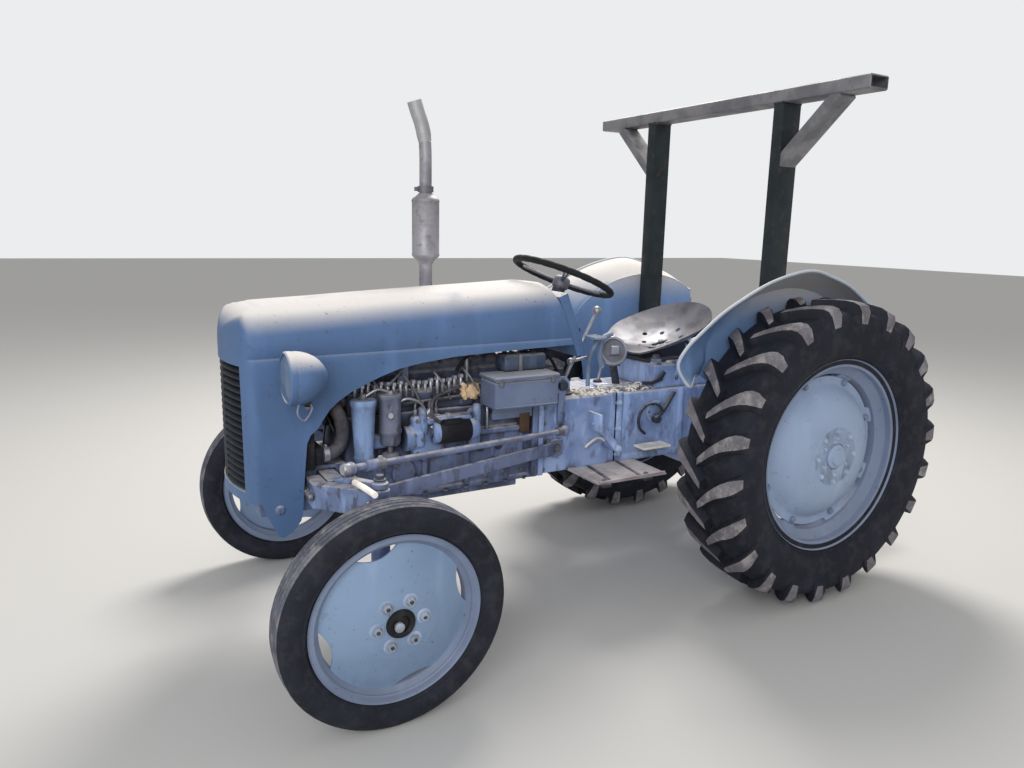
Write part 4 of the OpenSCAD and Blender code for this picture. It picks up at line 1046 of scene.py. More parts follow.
def fenders():
    form = Form()
    steps = 5
    seams = smoothed([(*row[1], 0) for row in FLARE], steps)
    edges = smoothed([(*row[2], 0) for row in FLARE], steps)
    feet = [Vector((*row[0], 0)) for row in FLARE]
    rows = []
    for i, (seam, edge) in enumerate(zip(seams, edges)):
        last = len(feet) - 1
        low = feet[min(i // steps, last)].lerp(feet[min(i // steps + 1, last)], i % steps / steps)
        row = [(FENDER_WALL, *low.lerp(seam, t).to_2d()) for t in (0, 0.35, 0.7, 0.93)]
        out = (seam.lerp(edge, 0.5).to_2d() - FENDER_HEART).normalized()
        for k in range(FLARE_STEPS + 1):
            t = k / FLARE_STEPS
            point = seam.lerp(edge, t).to_2d() + out * FENDER_CROWN * math.sin(math.pi * t)
            row.append((FENDER_WALL + 3 + (FENDER_REACH - 6) * t, *point))
        rows.append([Vector(p) for p in row])
    size = len(rows[0])
    starts = [(i * size, (i + 1) * size) for i in range(len(rows) - 1)]
    faces = [[a + j, b + j, b + j + 1, a + j + 1] for a, b in starts for j in range(size - 1)]
    form.add([p for row in rows for p in row], faces, "fender_lit_paint")
    form.dent(1.6, 120, 4.0)
    form.thicken(4)
    edge = [row[-1] for row in rows]
    # The rolled bead along the outer edge, pale as a painted highlight
    form.tube([rows[0][3], rows[0][7], *edge[::5], rows[-1][9], rows[-1][4]], 6, "bead_highlight_paint", 10, 5)
    form.tube([row[4] for row in rows[::4]] + [rows[-1][4]], 2.5, "fender_lit_paint", 8, 4)
    for y, z in ((-300, 900), (-120, 760), (60, 760), (200, 960)):
        form.bolt((FENDER_WALL - 2, y, z), RIGHT, 8, "worn_steel")
    form.mirror()
    form.make("fenders", "chassis", "fenders", slot="body_paint")


# Roll bar

POST_OUT = 404
BAR_W = 50
BAR_FRONT = -98
BAR_BACK = 0
BAR_TOP = 1978
BAR_HALF = 772.5
FOOT_TOP = 718


def roll_bar():
    form = Form()
    low = BAR_TOP - BAR_W
    form.box((-BAR_HALF, BAR_FRONT, low), (BAR_HALF, BAR_BACK, BAR_TOP), "bar_steel", 5)
    form.soften(1.5)
    bores = Form()
    for side in (-1, 1):
        x = side * BAR_HALF
        ends = sorted((x, x - side * 60))
        bores.box((ends[0] - 1, BAR_FRONT + 5, low + 5), (ends[1] + 1, BAR_BACK - 5, BAR_TOP - 5),
                  "black_plastic", 3)
    form.cut(bores)
    posts = Form()
    inner = POST_OUT - BAR_W
    posts.box((inner, BAR_FRONT, 700), (POST_OUT, BAR_BACK, low), "roll_bar_steel", 5)
    middle = (BAR_FRONT + BAR_BACK) / 2
    posts.bar((POST_OUT - 20, middle, 1700), (640, middle, low + 8), BAR_BACK - BAR_FRONT - 10, BAR_W - 10,
              "bar_steel", 4)
    posts.box((inner - 20, BAR_FRONT - 10, 640), (POST_OUT + 12, 110, FOOT_TOP), "roll_bar_steel", 6)
    for x in (inner - 8, POST_OUT + 2):
        for y in (BAR_FRONT + 14, 86):
            posts.bolt((x, y, FOOT_TOP), UP, 11, "worn_steel")
    posts.tube([(POST_OUT - 21, BAR_FRONT + 3, 1690), (POST_OUT - 3, BAR_FRONT + 3, 1735)], 4,
               "roll_bar_steel", 8)
    for y in (BAR_FRONT + 1, BAR_BACK - 1):
        posts.tube([(inner + 2, y, low - 1), (POST_OUT - 2, y, low - 1)], 4, "roll_bar_steel", 8)
    posts.mirror()
    form.join(posts)
    form.make("roll_bar", "chassis", "roll_bar", slot="dark_steel", crease=38)


# Exhaust

STACK = (-277, -1280)
OUTLET_Z = 842
MUFFLER = (1315, 1545)


def exhaust():
    """The stack from the manifold's outlet up, about its own middle line."""
    form = Form(Matrix.Translation((*STACK, 0)))
    low, high = MUFFLER
    flange = Vector((59, 0, OUTLET_Z))
    form.revolve([(0, 0), (36, 0), (36, 8), (0, 8)], "exhaust_steel", flange, sides=32)
    for y, z in ((-24, -24), (24, -24), (-24, 24), (24, 24)):
        form.bolt(flange + Vector((0, y, z)), RIGHT, 7, "worn_steel")
    form.tube([(65, 0, OUTLET_Z), (37, 0, OUTLET_Z), (15, 0, OUTLET_Z + 6), (3, 0, OUTLET_Z + 22),
               (0, 0, OUTLET_Z + 50), (0, 0, 1000), (0, 0, low + 4)], 26, "exhaust_steel", 28)
    form.revolve([(27, low - 26), (29, low - 20), (40, low - 6), (51, low + 2), (55, low + 10),
                  (55, low + 14), (53.5, low + 16), (53.5, high - 16), (55, high - 14), (55, high - 10),
                  (51, high - 2), (40, high + 5), (29, high + 14), (27, high + 18), (22, high + 18),
                  (22, low - 26)], "exhaust_steel", axis=UP, looped=True)
    form.box((-57, -4, low + 6), (-50, 4, high - 6), "exhaust_steel")
    upper = [(0, 0, high + 2), (0, 0, 1620), (0, 0, 1700), (0, -2, 1755), (0, -14, 1812), (0, -36, 1872),
             (0, -46, 1902)]
    form.tube(upper[:4], 24, "exhaust_steel", 28)
    tip = Form(form.place)
    tip.tube(upper[3:], lambda share: 25 + 3 * min(1, 6 * share), "exhaust_tip", 28, 8)
    bore = Form(form.place)
    bore.tube([(0, -22, 1845), *upper[-2:], (0, -62, 1950)], 24, "black_plastic", 24)
    tip.cut(bore)
    form.join(tip)
    form.revolve([(26.5, 0), (31, 0), (31, 22), (26.5, 22)], "worn_steel", (0, 0, high + 22), UP,
                 32, looped=True)
    form.box((-5, -46, high + 25), (5, -28, high + 41), "worn_steel", 1.5)
    form.make("exhaust", "chassis", "exhaust_stack", slot="exhaust_steel", crease=50)


# Seat and steering wheel

SEAT = (0, -312, 1036)
SEAT_TILT = math.radians(19)
SEAT_R = 228
SEAT_DEEP = 84
SEAT_WIDE = 1.06
SEAT_HOLES = [(-62, 62), (62, 62), (-70, -38), (70, -38), (0, 104), (0, 6), (-120, 12), (120, 12)]


def seat_height(u, v):
    """How high the pan is at u to the left of its middle and v behind it."""
    f = min(1.0, math.hypot(u, v) / SEAT_R)
    bowl = SEAT_DEEP * (f ** 1.9 - 1)
    front = max(0.0, -v / SEAT_R) ** 2
    rear = max(0.0, v / SEAT_R) ** 2
    ridge = 34 * math.exp(-(u / 34) ** 2) * max(0.0, -v / SEAT_R) ** 1.3
    legs = 26 * front * min(1, abs(u) / 110) * f
    return bowl - legs - 12 * front * f + ridge + 20 * rear * f


def seat():
    place = Matrix.Translation(SEAT) @ Matrix.Rotation(SEAT_TILT, 4, "X")
    form = Form(place)
    rows = []
    turns = 96
    # Rings out to the edge, and two more for the rolled rim
    for f, drop in [(0.02, 0), *[(i / 16, 0) for i in range(1, 17)], (1, 5), (0.998, 8)]:
        row = []
        for i in range(turns):
            a = 2 * math.pi * i / turns
            u = SEAT_R * f * math.sin(a)
            v = SEAT_R * f * math.cos(a)
            row.append((u * SEAT_WIDE, v, seat_height(u, v) - drop))
        rows.append(row)
    starts = [(i * turns, (i + 1) * turns) for i in range(len(rows) - 1)]
    faces = [[a + j, a + (j + 1) % turns, b + (j + 1) % turns, b + j]
             for a, b in starts for j in range(turns)]
    faces.append(list(range(turns))[::-1])
    form.add([p for row in rows for p in row], faces, "seat_steel")
    form.thicken(4)
    holes = Form(place)
    for u, v in SEAT_HOLES:
        holes.rod((u, v, -140), (u, v, 40), 11, "black_plastic", sides=24, bevel=0.5)
    form.cut(holes)
    for u, v in ((-26, 18), (26, 18), (-26, -36), (26, -36)):
        form.revolve([(0, 0), (12, 0), (10, 4), (0, 5)], "worn_steel", (u, v, seat_height(u, v) - 1), UP, 20)
    form.make("seat", "chassis", "seat", slot="bare_steel", crease=50)

    lying = Matrix.Rotation(math.radians(90), 4, "X") @ Matrix.Rotation(math.radians(-90), 4, "Y")
    spring = Form()
    spring.tube([(0, -150, 895), (0, -120, 930), (0, -160, 968), (0, -240, 966), (0, -330, 950)], 8,
                "dark_iron", 8, 8)
    for x in (-32, 32):
        spring.prism([(-170, 0), (-40, 0), (-20, 14), (20, 14), (60, 30), (60, 38), (14, 24),
                      (-24, 24), (-44, 8), (-170, 8)], 14, "dark_iron",
                     Matrix.Translation((x + 7, -250, 905)) @ lying)
    spring.take("seat_bracket", "dark_iron")
    spring.make("seat_spring", "chassis", "seat_bracket", slot="engine_paint", crease=38)


WHEEL_R = 213
WHEEL_GRIP = 13


def steering_wheel():
    place = Matrix.Translation(STEER) @ Matrix.Rotation(-COLUMN_LEAN, 4, "X")
    form = Form(place)
    ring = []
    for i in range(96):
        a = 2 * math.pi * i / 96
        grip = WHEEL_GRIP - 1.2 * (math.cos(24 * a) > 0.2)
        section = arc((WHEEL_R - WHEEL_GRIP, 0), grip, 0, 337.5, 15)
        ring.append([(r * math.cos(a), r * math.sin(a), z) for r, z in section])
    form.loft(ring, "black_plastic", looped=True)
    for i in range(3):
        a = math.radians(90 + 120 * i)
        for shift in (-4, 4):
            side = Vector((-math.sin(a), math.cos(a), 0)) * shift
            out = Vector((math.cos(a), math.sin(a), 0))
            form.tube([out * 20 + side + Vector((0, 0, -18)), out * 60 + side + Vector((0, 0, -16)),
                       out * 130 + side * 1.6 + Vector((0, 0, -8)), out * (WHEEL_R - 16) + side * 2], 4.5,
                      "worn_steel", 8, 4)
    form.revolve([(0, -45), (30, -45), (34, -38), (34, -12), (30, -4), (20, 2), (0, 4)], "worn_steel",
                 sides=40, axis=UP)
    form.revolve([(0, 3), (13, 3), (13, 8), (9, 10), (0, 10)], "bright_steel", sides=6, axis=UP)
    form.rod((0, 0, -95), (0, 0, -44), 11, "worn_steel")
    form.make("steering_wheel", "steering_wheel", "steering_wheel", slot="black_rim", crease=38)


# Castings and the other parts

BODY_OF = {node: body for body, nodes in frame["record"]["behaviour"]["bodies"].items() for node in nodes}
BLOCK_HALF = 140
ENGINE_FRONT = FRONT_Y + 28
ENGINE_BACK = -1005
HOUSING_HALF = 150
HOUSING_TOP = 790
KINGPIN_X = 560
BESIDE_ENGINE = Matrix.Translation((BLOCK_HALF, ENGINE_FRONT, 0))
SIDE_ON = Matrix(((0, 0, 1, 0), (1, 0, 0, 0), (0, 1, 0, 0), (0, 0, 0, 1)))


def side_on(turn, x):
    """A place whose X and Y are the object's Y and Z, x away from the middle on the side turn."""
    flat = SIDE_ON if turn > 0 else Matrix.Scale(-1, 4, LEFT) @ SIDE_ON
    return flat @ Matrix.Translation((0, 0, x))


def studs(form, places, base, tall, r, material):
    """A row of upright studs or pipe ends with their nuts."""
    for x, y in places:
        top = base + tall * (0.85 + 0.3 * random.random())
        form.rod((x, y, base - 12), (x, y, top), r, material, sides=10)
        form.bolt((x, y, top - r * 1.5), UP, r * 1.7, material, False)


SUMP_RAIL_Z = 501
SIDE_PLUG_Z = 640
PUMP_DRIVE = (-1545, 585)


def engine():
    form = Form()
    form.take("engine_block", "engine_paint")
    edge = BLOCK_HALF - 4
    for i in range(4):
        y = ENGINE_FRONT + 110 + 165 * i
        form.box((edge, y, 515), (edge + 16, y + 24, 700), "engine_paint", 4)
        form.box((-edge - 16, y, 515), (-edge, y + 24, 800), "engine_paint", 4)
    for x in (edge, -edge - 14):
        form.box((x, ENGINE_FRONT, SUMP_RAIL_Z - 9), (x + 14, ENGINE_BACK, SUMP_RAIL_Z + 9),
                 "engine_paint", 4)
    form.box((edge, -1500, 690), (edge + 28, -1050, 712), "engine_paint", 5)
    form.prism([(-1180, 575), (-1060, 560), (-1060, 680), (-1120, 690)], 18, "engine_paint",
               side_on(1, edge), 3)
    form.rod((edge - 2, *PUMP_DRIVE), (edge + 22, *PUMP_DRIVE), 44, "engine_paint")
    form.rod((-100, -1400, 470), (-100, -1400, 452), 16, "engine_paint")
    form.cast(5)
    for turn in (1, -1):
        x = turn * (BLOCK_HALF + 9)
        for i in range(9):
            form.bolt((x, ENGINE_FRONT + 40 + 82 * i, SUMP_RAIL_Z), DOWN, 8, "worn_steel")
            form.bolt((x - 10 * turn, ENGINE_FRONT + 60 + 78 * i, 530), (turn, 0, 0), 7, "worn_steel")
    form.bolt_ring((edge + 21, *PUMP_DRIVE), LEFT, 33, 5, 5, "worn_steel")
    for y in (-1395, -1330, -1240, -1165):
        form.rod((BLOCK_HALF, y, SIDE_PLUG_Z), (BLOCK_HALF + 8, y, SIDE_PLUG_Z), 16, "dark_iron")
    # Breather, dipstick and the pipe along the sump
    form.place = BESIDE_ENGINE
    form.tube([(14, 270, 640), (26, 280, 700), (30, 265, 761), (26, 303, 811)], 11, "bright_steel", 14)
    form.revolve([(0, 0), (24, 0), (24, 7), (16, 10), (0, 10)], "bright_steel", (14, 270, 632), UP, 24)
    form.tube([(4, 250, 560), (20, 290, 548), (14, 450, 552), (6, 570, 590)], 6, "dark_steel", 10, 5)
    form.rod((14, 530, 700), (14, 530, 806), 5, "bright_steel")
    form.make("engine", "chassis", "engine_block", slot="engine_paint")


def head():
    form = Form()
    form.take("cylinder_head", "head_paint")
    for i in range(4):
        y = ENGINE_FRONT + 90 + 165 * i
        form.box((BLOCK_HALF - 30, y, 800), (BLOCK_HALF + 8, y + 60, 872), "head_paint", 8)
    form.cast()
    form.box((-70, ENGINE_FRONT + 56, 876), (85, ENGINE_BACK - 106, 884), "worn_steel")
    studs(form, [(BLOCK_HALF - 6 + 5 * (i % 2), -1712 + 23 * i) for i in range(18)], 866, 46, 6.5,
          "bright_steel")
    studs(form, [(118, -1700 + 34 * i) for i in range(12)], 868, 30, 7, "worn_steel")
    for i in range(4):
        y = -1650 + 118 * i
        # Fuel pipe from the injector down to the pump
        form.tube([(110, y, 925), (128, y - 10, 935), (146, y + 4, 915), (154, y + 30, 872),
                   (158, y + 46, 836)], 4, "worn_steel", 8)
    form.tube([(150, -1640, 838), (152, -1560, 832), (152, -1450, 836), (150, -1300, 842)], 7,
              "dark_iron", 10)
    # Rocker cover's knobs and filler cap
    ridge = 7.5
    for y in (-1600, -1430, -1260):
        form.revolve([(0, 0), (10, 0), (10, 12), (14, 16), (14, 24), (9, 28), (0, 28)], "worn_steel",
                     (ridge, y, 962), UP, 16)
    form.revolve([(0, 0), (26, 0), (26, 20), (31, 22), (31, 36), (25, 42), (0, 42)], "worn_steel",
                 (ridge, -1190, 960), UP, 32)
    form.make("head", "chassis", "cylinder_head", slot="engine_paint")


def filters():
    """The two fuel filters and the injection pump, from the block's front left corner."""
    form = Form(BESIDE_ENGINE)
    front = Vector((44, 50, 0))
    rear = Vector((40, 145, 0))
    form.revolve([(0, 633), (24, 633), (28, 640), (30, 664), (34, 668), (34, 676), (31, 680),
                  (36, 760), (41, 846), (44, 850), (44, 866), (40, 870), (0, 870)], "filter_blue",
                 front, UP, 40)
    form.revolve([(0, 700), (16, 700), (32, 706), (36, 716), (36, 742), (40, 746), (40, 756),
                  (37, 760), (38, 862), (40, 866), (40, 876), (36, 880), (0, 880)],
                 "filter_grey", rear, UP, 40)
    form.revolve([(0, 0), (12, 0), (12, 5), (9, 8), (0, 8)], "bright_steel", rear + Vector((34, -10, 812)),
                 (1, -0.25, 0.1), 16)
    form.rod((rear.x, rear.y, 655), (rear.x, rear.y, 702), 9, "worn_steel", sides=12)
    form.revolve([(0, 640), (22, 640), (30, 648), (30, 668), (24, 674), (0, 674)],
                 "filter_grey", rear, UP, 28)
    for z in (876, 868):
        form.bolt((front.x, front.y, z), UP, 10, "worn_steel")
    form.bolt((rear.x, rear.y, 878), UP, 11, "bright_steel")
    form.bolt((front.x, front.y, 634), DOWN, 10, "worn_steel")
    form.tube([(34, 56, 874), (40, 100, 898), (34, 137, 888)], 5, "bright_steel", 10)
    form.tube([(36, 175, 846), (44, 211, 858), (32, 265, 830), (24, 295, 770)], 5, "bright_steel", 10)
    rough = Form(BESIDE_ENGINE)
    # Filter brackets, pump with its governor and drive, and the starter's shelf and flange
    for low, high, bevel in (((-2, 30, 690), (40, 180, 738), 6), ((-2, 70, 820), (20, 175, 862), 6),
                             ((-2, 228, 640), (46, 345, 790), 12), ((-2, 215, 676), (56, 268, 742), 10),
                             ((-2, 274, 760), (62, 450, 782), 6), ((-2, 450, 640), (34, 498, 796), 12)):
        rough.box(low, high, "pump_paint", bevel)
    rough.rod((20, 200, 710), (20, 230, 710), 44, "pump_paint")
    rough.cast(3)
    form.join(rough)
    for i in range(4):
        y = 244 + 26 * i
        form.rod((22, y, 786), (22, y, 812), 8, "worn_steel", sides=12)
        form.tube([(22, y, 810), (22, y, 826), (14, y + 8, 838)], 4, "worn_steel", 8, 4)
    for y, z in ((244, 657), (292, 657), (337, 665), (244, 775), (292, 785), (337, 775)):
        form.bolt((45, y, z), LEFT, 6, "worn_steel")
    form.bolt_ring((56, 240, 710), LEFT, 20, 3, 5, "worn_steel")
    form.rod((40, 280, 781), (40, 430, 781), 7, "bright_steel")
    form.bolt((40, 360, 780), UP, 12, "bright_steel")
    form.make("filters_and_pump", "chassis", "injection_pump", slot="engine_paint")


STARTER_R = 44
STARTER = (BLOCK_HALF + STARTER_R + 4, -1455, 730)
DYNAMO_R = 50
DYNAMO = (-BLOCK_HALF - DYNAMO_R - 2, -1250, 725)


def motors():
    """The starter on the left and the dynamo on the right."""
    form = Form(Matrix.Translation(STARTER))
    r = STARTER_R
    form.revolve([(0, 0), (r - 10, 0), (r - 4, 5), (r - 4, 24), (0, 24)], "pump_paint", axis=BACK, sides=40)
    form.revolve([(0, 22), (r - 3, 22), (r, 26), (r, 112), (r - 1.5, 114), (r - 1.5, 138),
                  (r - 4, 142), (0, 142)], "starter_black", axis=BACK)
    form.revolve([(0, 140), (r - 6, 140), (r - 2, 146), (r - 6, 172), (r - 16, 180), (0, 180)], "pump_paint",
                 axis=BACK, sides=40)
    form.tube([(-22, 185, 70), (-6, 177, 60), (4, 171, 34), (-2, 167, 0), (-20, 163, -26)], 17,
              "pump_paint", 16)
    form.tube([(-34, -23, 76), (-14, -27, 60), (-8, -25, 26), (-20, -21, -18)], 16, "pump_paint", 16)
    form.rod((0, -4, 0), (0, 0, 0), 14, "worn_steel")
    form.rod((22, 35, 34), (22, 105, 34), 13, "starter_black")
    for x, z in ((10, 22), (-16, -22)):
        form.bolt((x, -2, z), FORWARD, 6, "bright_steel")
    form.box((-50, 35, -30), (-18, 145, 30), "dark_iron", 3)
    form.tube([(28, 19, 40), (20, -5, 70), (-10, 15, 120), (-30, 125, 150)], 6, "hose_rubber", 10)
    form.place = Matrix.Translation(DYNAMO)
    r = DYNAMO_R
    form.revolve([(0, 0), (r - 8, 0), (r, 4), (r, 18), (r - 2, 20), (r - 2, 190), (r, 192),
                  (r, 210), (r - 6, 215), (0, 215)], "starter_black", axis=BACK)
    form.box((18, 35, -30), (54, 145, 30), "dark_iron", 3)
    form.make("motors", "chassis", "starter_motor", slot="engine_paint")


BATTERY_LOW = Vector((150, -1249, 803))
BATTERY_HIGH = Vector((270, -985, 905))


def battery():
    form = Form()
    low = BATTERY_LOW
    high = BATTERY_HIGH
    form.box(low, high, "box_paint", 7)
    form.box((low.x - 4, low.y - 4, high.z), (high.x + 4, high.y + 4, high.z + 18), "box_paint", 6)
    form.box((low.x, -1200, 760), (162, -1031, low.z + 3), "box_paint", 3)
    form.box((BLOCK_HALF, -1200, 740), (162, -1031, 762), "box_paint", 3)
    form.soften(1.2)
    form.box((BLOCK_HALF - 2, -1086, 684), (BLOCK_HALF + 28, -1045, 757), "rust_plate")
    form.tube([(274, -1251, 907), (274, -983, 907)], 2.4, "worn_steel", 8, 3)
    form.tube([(272, -1244, 812), (272, -990, 812)], 2.4, "box_paint", 8, 3)
    for y in (-1225, -1010):
        form.box((268, y - 8, 888), (276, y + 8, 918), "worn_steel", 1.5)
        form.bolt((275, y, 912), LEFT, 5, "worn_steel")
    # The coil box above, with its own strap
    top = Form()
    top.box((112, -1168, 922), (190, -992, 985), "coil_paint", 8)
    top.box((110, -1110, 921), (194, -1096, 988), "worn_steel")
    top.soften(1.5)
    form.join(top)
    for y, route in ((-1150, [(158, -1200, 1006), (140, -1290, 985), (120, -1330, 930)]),
                     (-1060, [(170, -1020, 992), (160, -960, 960), (120, -900, 900)])):
        form.rod((150, y, 984), (150, y, 1000), 9, "black_plastic")
        form.tube([(150, y, 1000), *route], 6, "black_plastic", 10)
    form.make("battery", "chassis", "battery_box", slot="body_paint")


def dry_dirt():
    """The yellow dry dirt that lies beside the battery box."""
    form = Form()
    for _ in range(26):
        centre = (136 + random.uniform(-10, 12), random.uniform(-1318, -1256), 846 + random.uniform(-18, 30))
        form.ball(centre, random.uniform(9, 19), "dry_dirt", 12)
    form.cast(3, 1)
    form.dent(5, 11, 2.0)
    form.make("dry_dirt", "chassis", crease=38)


JOINT_Y = -641
SIDE_COVER = (-430, 700)


def gearbox():
    form = Form()
    form.take("rear_housing", "gearbox_paint")
    side = HOUSING_HALF + 6
    flanges = [([(-640, 483), (-606, 480), (-604, 800), (-640, 800)], 16),
               ([(-604, 505), (-250, 505), (-250, 527), (-604, 527)], 12),
               ([(-300, 500), (-278, 500), (-278, 795), (-300, 795)], 12)]
    for turn in (1, -1):
        for outline, thick in flanges:
            form.prism(outline, thick, "gearbox_paint", side_on(turn, side - 4), 4)
    form.cast(6)
    for turn in (1, -1):
        for i in range(3):
            form.bolt((turn * (side + 11), -622, 540 + 108 * i), (turn, 0, 0), 8, "gearbox_paint")
    form.revolve([(0, 0), (46, 0), (46, 6), (38, 9), (0, 9)], "gearbox_paint",
                 (side - 1, *SIDE_COVER), sides=40)
    form.bolt_ring((side + 6, *SIDE_COVER), LEFT, 36, 6, 5, "worn_steel")
    form.make("gearbox_rear", "chassis", "rear_housing", slot="engine_paint")

    front = Form()
    front.take("clutch_housing", "gearbox_paint")
    face = HOUSING_HALF - 3
    fork = [(-780, 583), (-769, 578), (-716, 604), (-618, 552), (-612, 564), (-712, 621), (-720, 621)]
    raised = [(fork, 12, 2),
              ([(-648, 483), (-612, 480), (-612, 800), (-648, 800)], 18, 4),
              ([(-960, 760), (-890, 790), (-835, 684), (-840, 664), (-860, 690), (-905, 735)], 10, 2)]
    for turn in (1, -1):
        for outline, thick, bevel in raised:
            front.prism(outline, thick, "gearbox_paint", side_on(turn, face), bevel)
    front.cast(5)
    rib = [(-778, 584), (-764, 596), (-716, 617), (-668, 590), (-622, 562)]
    for turn in (1, -1):
        for i in range(3):
            front.bolt((turn * (face + 17), -634, 540 + 108 * i), (turn, 0, 0), 8, "gearbox_paint")
        front.tube([(turn * (face + 12), y, z) for y, z in rib], 5, "straw", 10, 4)
        seam = turn * (face + 13)
        front.bar((seam, JOINT_Y, 486), (seam, JOINT_Y, 798), 16, 4, "grease", 1, BACK)
        for i in range(5):
            front.bolt((turn * 160, ENGINE_BACK + 25, 520 + 62 * i), BACK, 9, "worn_steel")
    front.make("gearbox_front", "chassis", "clutch_housing", slot="engine_paint")


def debris():
    """Straw and swarf on the housing's top."""
    form = Form()
    for _ in range(90):
        centre = Vector((random.uniform(50, 144), random.uniform(-790, -440), random.uniform(2, 14)))
        centre.z += HOUSING_TOP
        a = random.uniform(0, math.pi)
        half = Vector((math.cos(a), math.sin(a), random.uniform(-0.25, 0.25))) * random.uniform(10, 30)
        form.tube([centre - half, centre + Vector((0, 0, random.uniform(2, 9))), centre + half],
                  random.uniform(2.0, 4.5), random.choice(["straw", "straw", "bright_steel"]), 6, 3)
    for _ in range(54):
        centre = (random.uniform(60, 140), random.uniform(-784, -450), HOUSING_TOP + random.uniform(0, 6))
        form.ball(centre, random.uniform(5, 12), "straw", 8)
    form.make("debris", "chassis", crease=38)


def lift_case():
    form = Form()
    form.take("lift_cover", "gearbox_paint")
    form.box((-118, -330, 886), (118, -60, 898), "gearbox_paint", 5)
    plug = Vector((95, -390, 888))
    form.rod(plug, plug + Vector((0, 0, 22)), 24, "gearbox_paint")
    form.cast(5.5)
    for turn in (1, -1):
        for i in range(7):
            form.bolt((turn * 128, -400 + 82 * i, 889), UP, 9, "worn_steel")
        for i in range(5):
            form.bolt((turn * 139, -390 + 80 * i, 830), (turn, 0, 0), 7, "worn_steel")
    form.bolt(plug + Vector((0, 0, 22)), UP, 16, "worn_steel")
    # The curved lever on the left
    form.prism([(-500, 815), (-450, 812), (-400, 826), (-378, 858), (-392, 866), (-412, 842), (-455, 828),
                (-500, 830)], 8, "dark_iron", side_on(1, 146), 1)
    form.make("lift_case", "chassis", "lift_cover", slot="engine_paint")


def controls():
    form = Form()
    form.take("pedals", "gearbox_paint")
    form.soften(3)
    for turn in (1, -1):
        form.bolt((turn * (HOUSING_HALF + 96), -680, 590), (turn, 0, 0), 11, "gearbox_paint")
    # Ring lever on the left side of the housing, with its rod up to the lift
    turns = [math.radians(20 + 32 * i) for i in range(8)]
    form.tube([(186, -472 + 66 * math.cos(a), 676 + 66 * math.sin(a)) for a in turns], 6, "dark_iron", 12, 5)
    form.tube([(178, -437, 671), (184, -400, 715), (178, -349, 778)], 8, "dark_iron", 12, 5)
    form.rod((HOUSING_HALF, -437, 671), (192, -437, 671), 16, "dark_iron")
    form.box((HOUSING_HALF, -530, 556), (222, -388, 566), "straw")
    form.make("pedals_and_rods", "chassis", "pedals", slot="dark_steel")


GEAR_LEVER = Vector((60, -828, HOUSING_TOP))
LIFT_LEVER = Vector((-80, -560, HOUSING_TOP))


def gear_levers():
    form = Form(Matrix.Translation(GEAR_LEVER))
    form.revolve([(0, 0), (38, 0), (38, 8), (28, 16), (24, 40), (20, 60), (12, 66), (0, 68)],
                 "dark_iron", (0, 0, -2), UP, 32)
    form.bolt_ring((0, 0, 5), UP, 31, 4, 5, "worn_steel")
    form.rod((0, 0, 55), (0, 149, 326), 8, "bright_steel", 6.5)
    form.ball((0, 149, 328), 19, "bright_steel", 24)
    form.ball((0, 31, 128), 15, "bright_steel", 16)
    form.rod((0, 31, 128), (0, 110, 141), 6, "bright_steel")
    form.tube([(12, 110, 24), (10, 112, 110), (18, 116, 160), (32, 128, 202), (36, 138, 232)], 9, "pale_blue")
    form.box((0, 90, 222), (80, 148, 232), "pale_blue")
    form.place = Matrix.Translation(LIFT_LEVER)
    form.tube([(0, 0, 0), (0, 20, 70), (0, 60, 170)], 7, "bright_steel")
    form.ball((0, 60, 172), 15, "bright_steel")
    form.revolve([(0, 0), (20, 0), (20, 6), (12, 16), (0, 18)], "dark_iron", (0, 0, -2), UP, 24)
    form.make("gear_levers", "chassis", "levers", slot="bare_steel")


def hydraulic_filler():
    """The round lid with a square boss between the levers and the seat, with what carries it."""
    form = Form(looking((52, -584, 947), (0.94, -0.22, 0.25)))
    form.revolve([(0, -34), (50, -34), (56, -28), (58, 0), (60, 4), (58, 9), (50, 9), (46, 5),
                  (18, 3), (0, 3)], "worn_steel", axis=UP)
    form.revolve([(46, 4), (50, 4), (60, 3), (61, 7), (58, 11), (50, 11)], "bright_steel", axis=UP)
    form.box((-18, -18, 2), (18, 18, 28), "bright_steel", 3)
    form.place = Matrix.Identity(4)
    form.tube([(40, -570, 880), (38, -560, 850), (40, -548, HOUSING_TOP - 2)], 16, "dark_iron", 14, 5)
    form.box((0, -640, HOUSING_TOP - 2), (96, -520, HOUSING_TOP + 16), "gearbox_paint", 4)
    form.box((12, -590, 884), (66, -550, 894), "worn_steel")
    form.tube([(60, -640, 884), (62, -655, 930), (66, -650, 1000), (60, -600, 1022)], 11, "pale_blue")
    form.make("hydraulic_filler", "chassis", slot="bare_steel", crease=38)


# The left plate from above: its thickness, and its corners
PLATE_LOW = 512
PLATE_THICK = 8
PLATE = [(190, -880), (392, -880), (400, -560), (190, -560)]


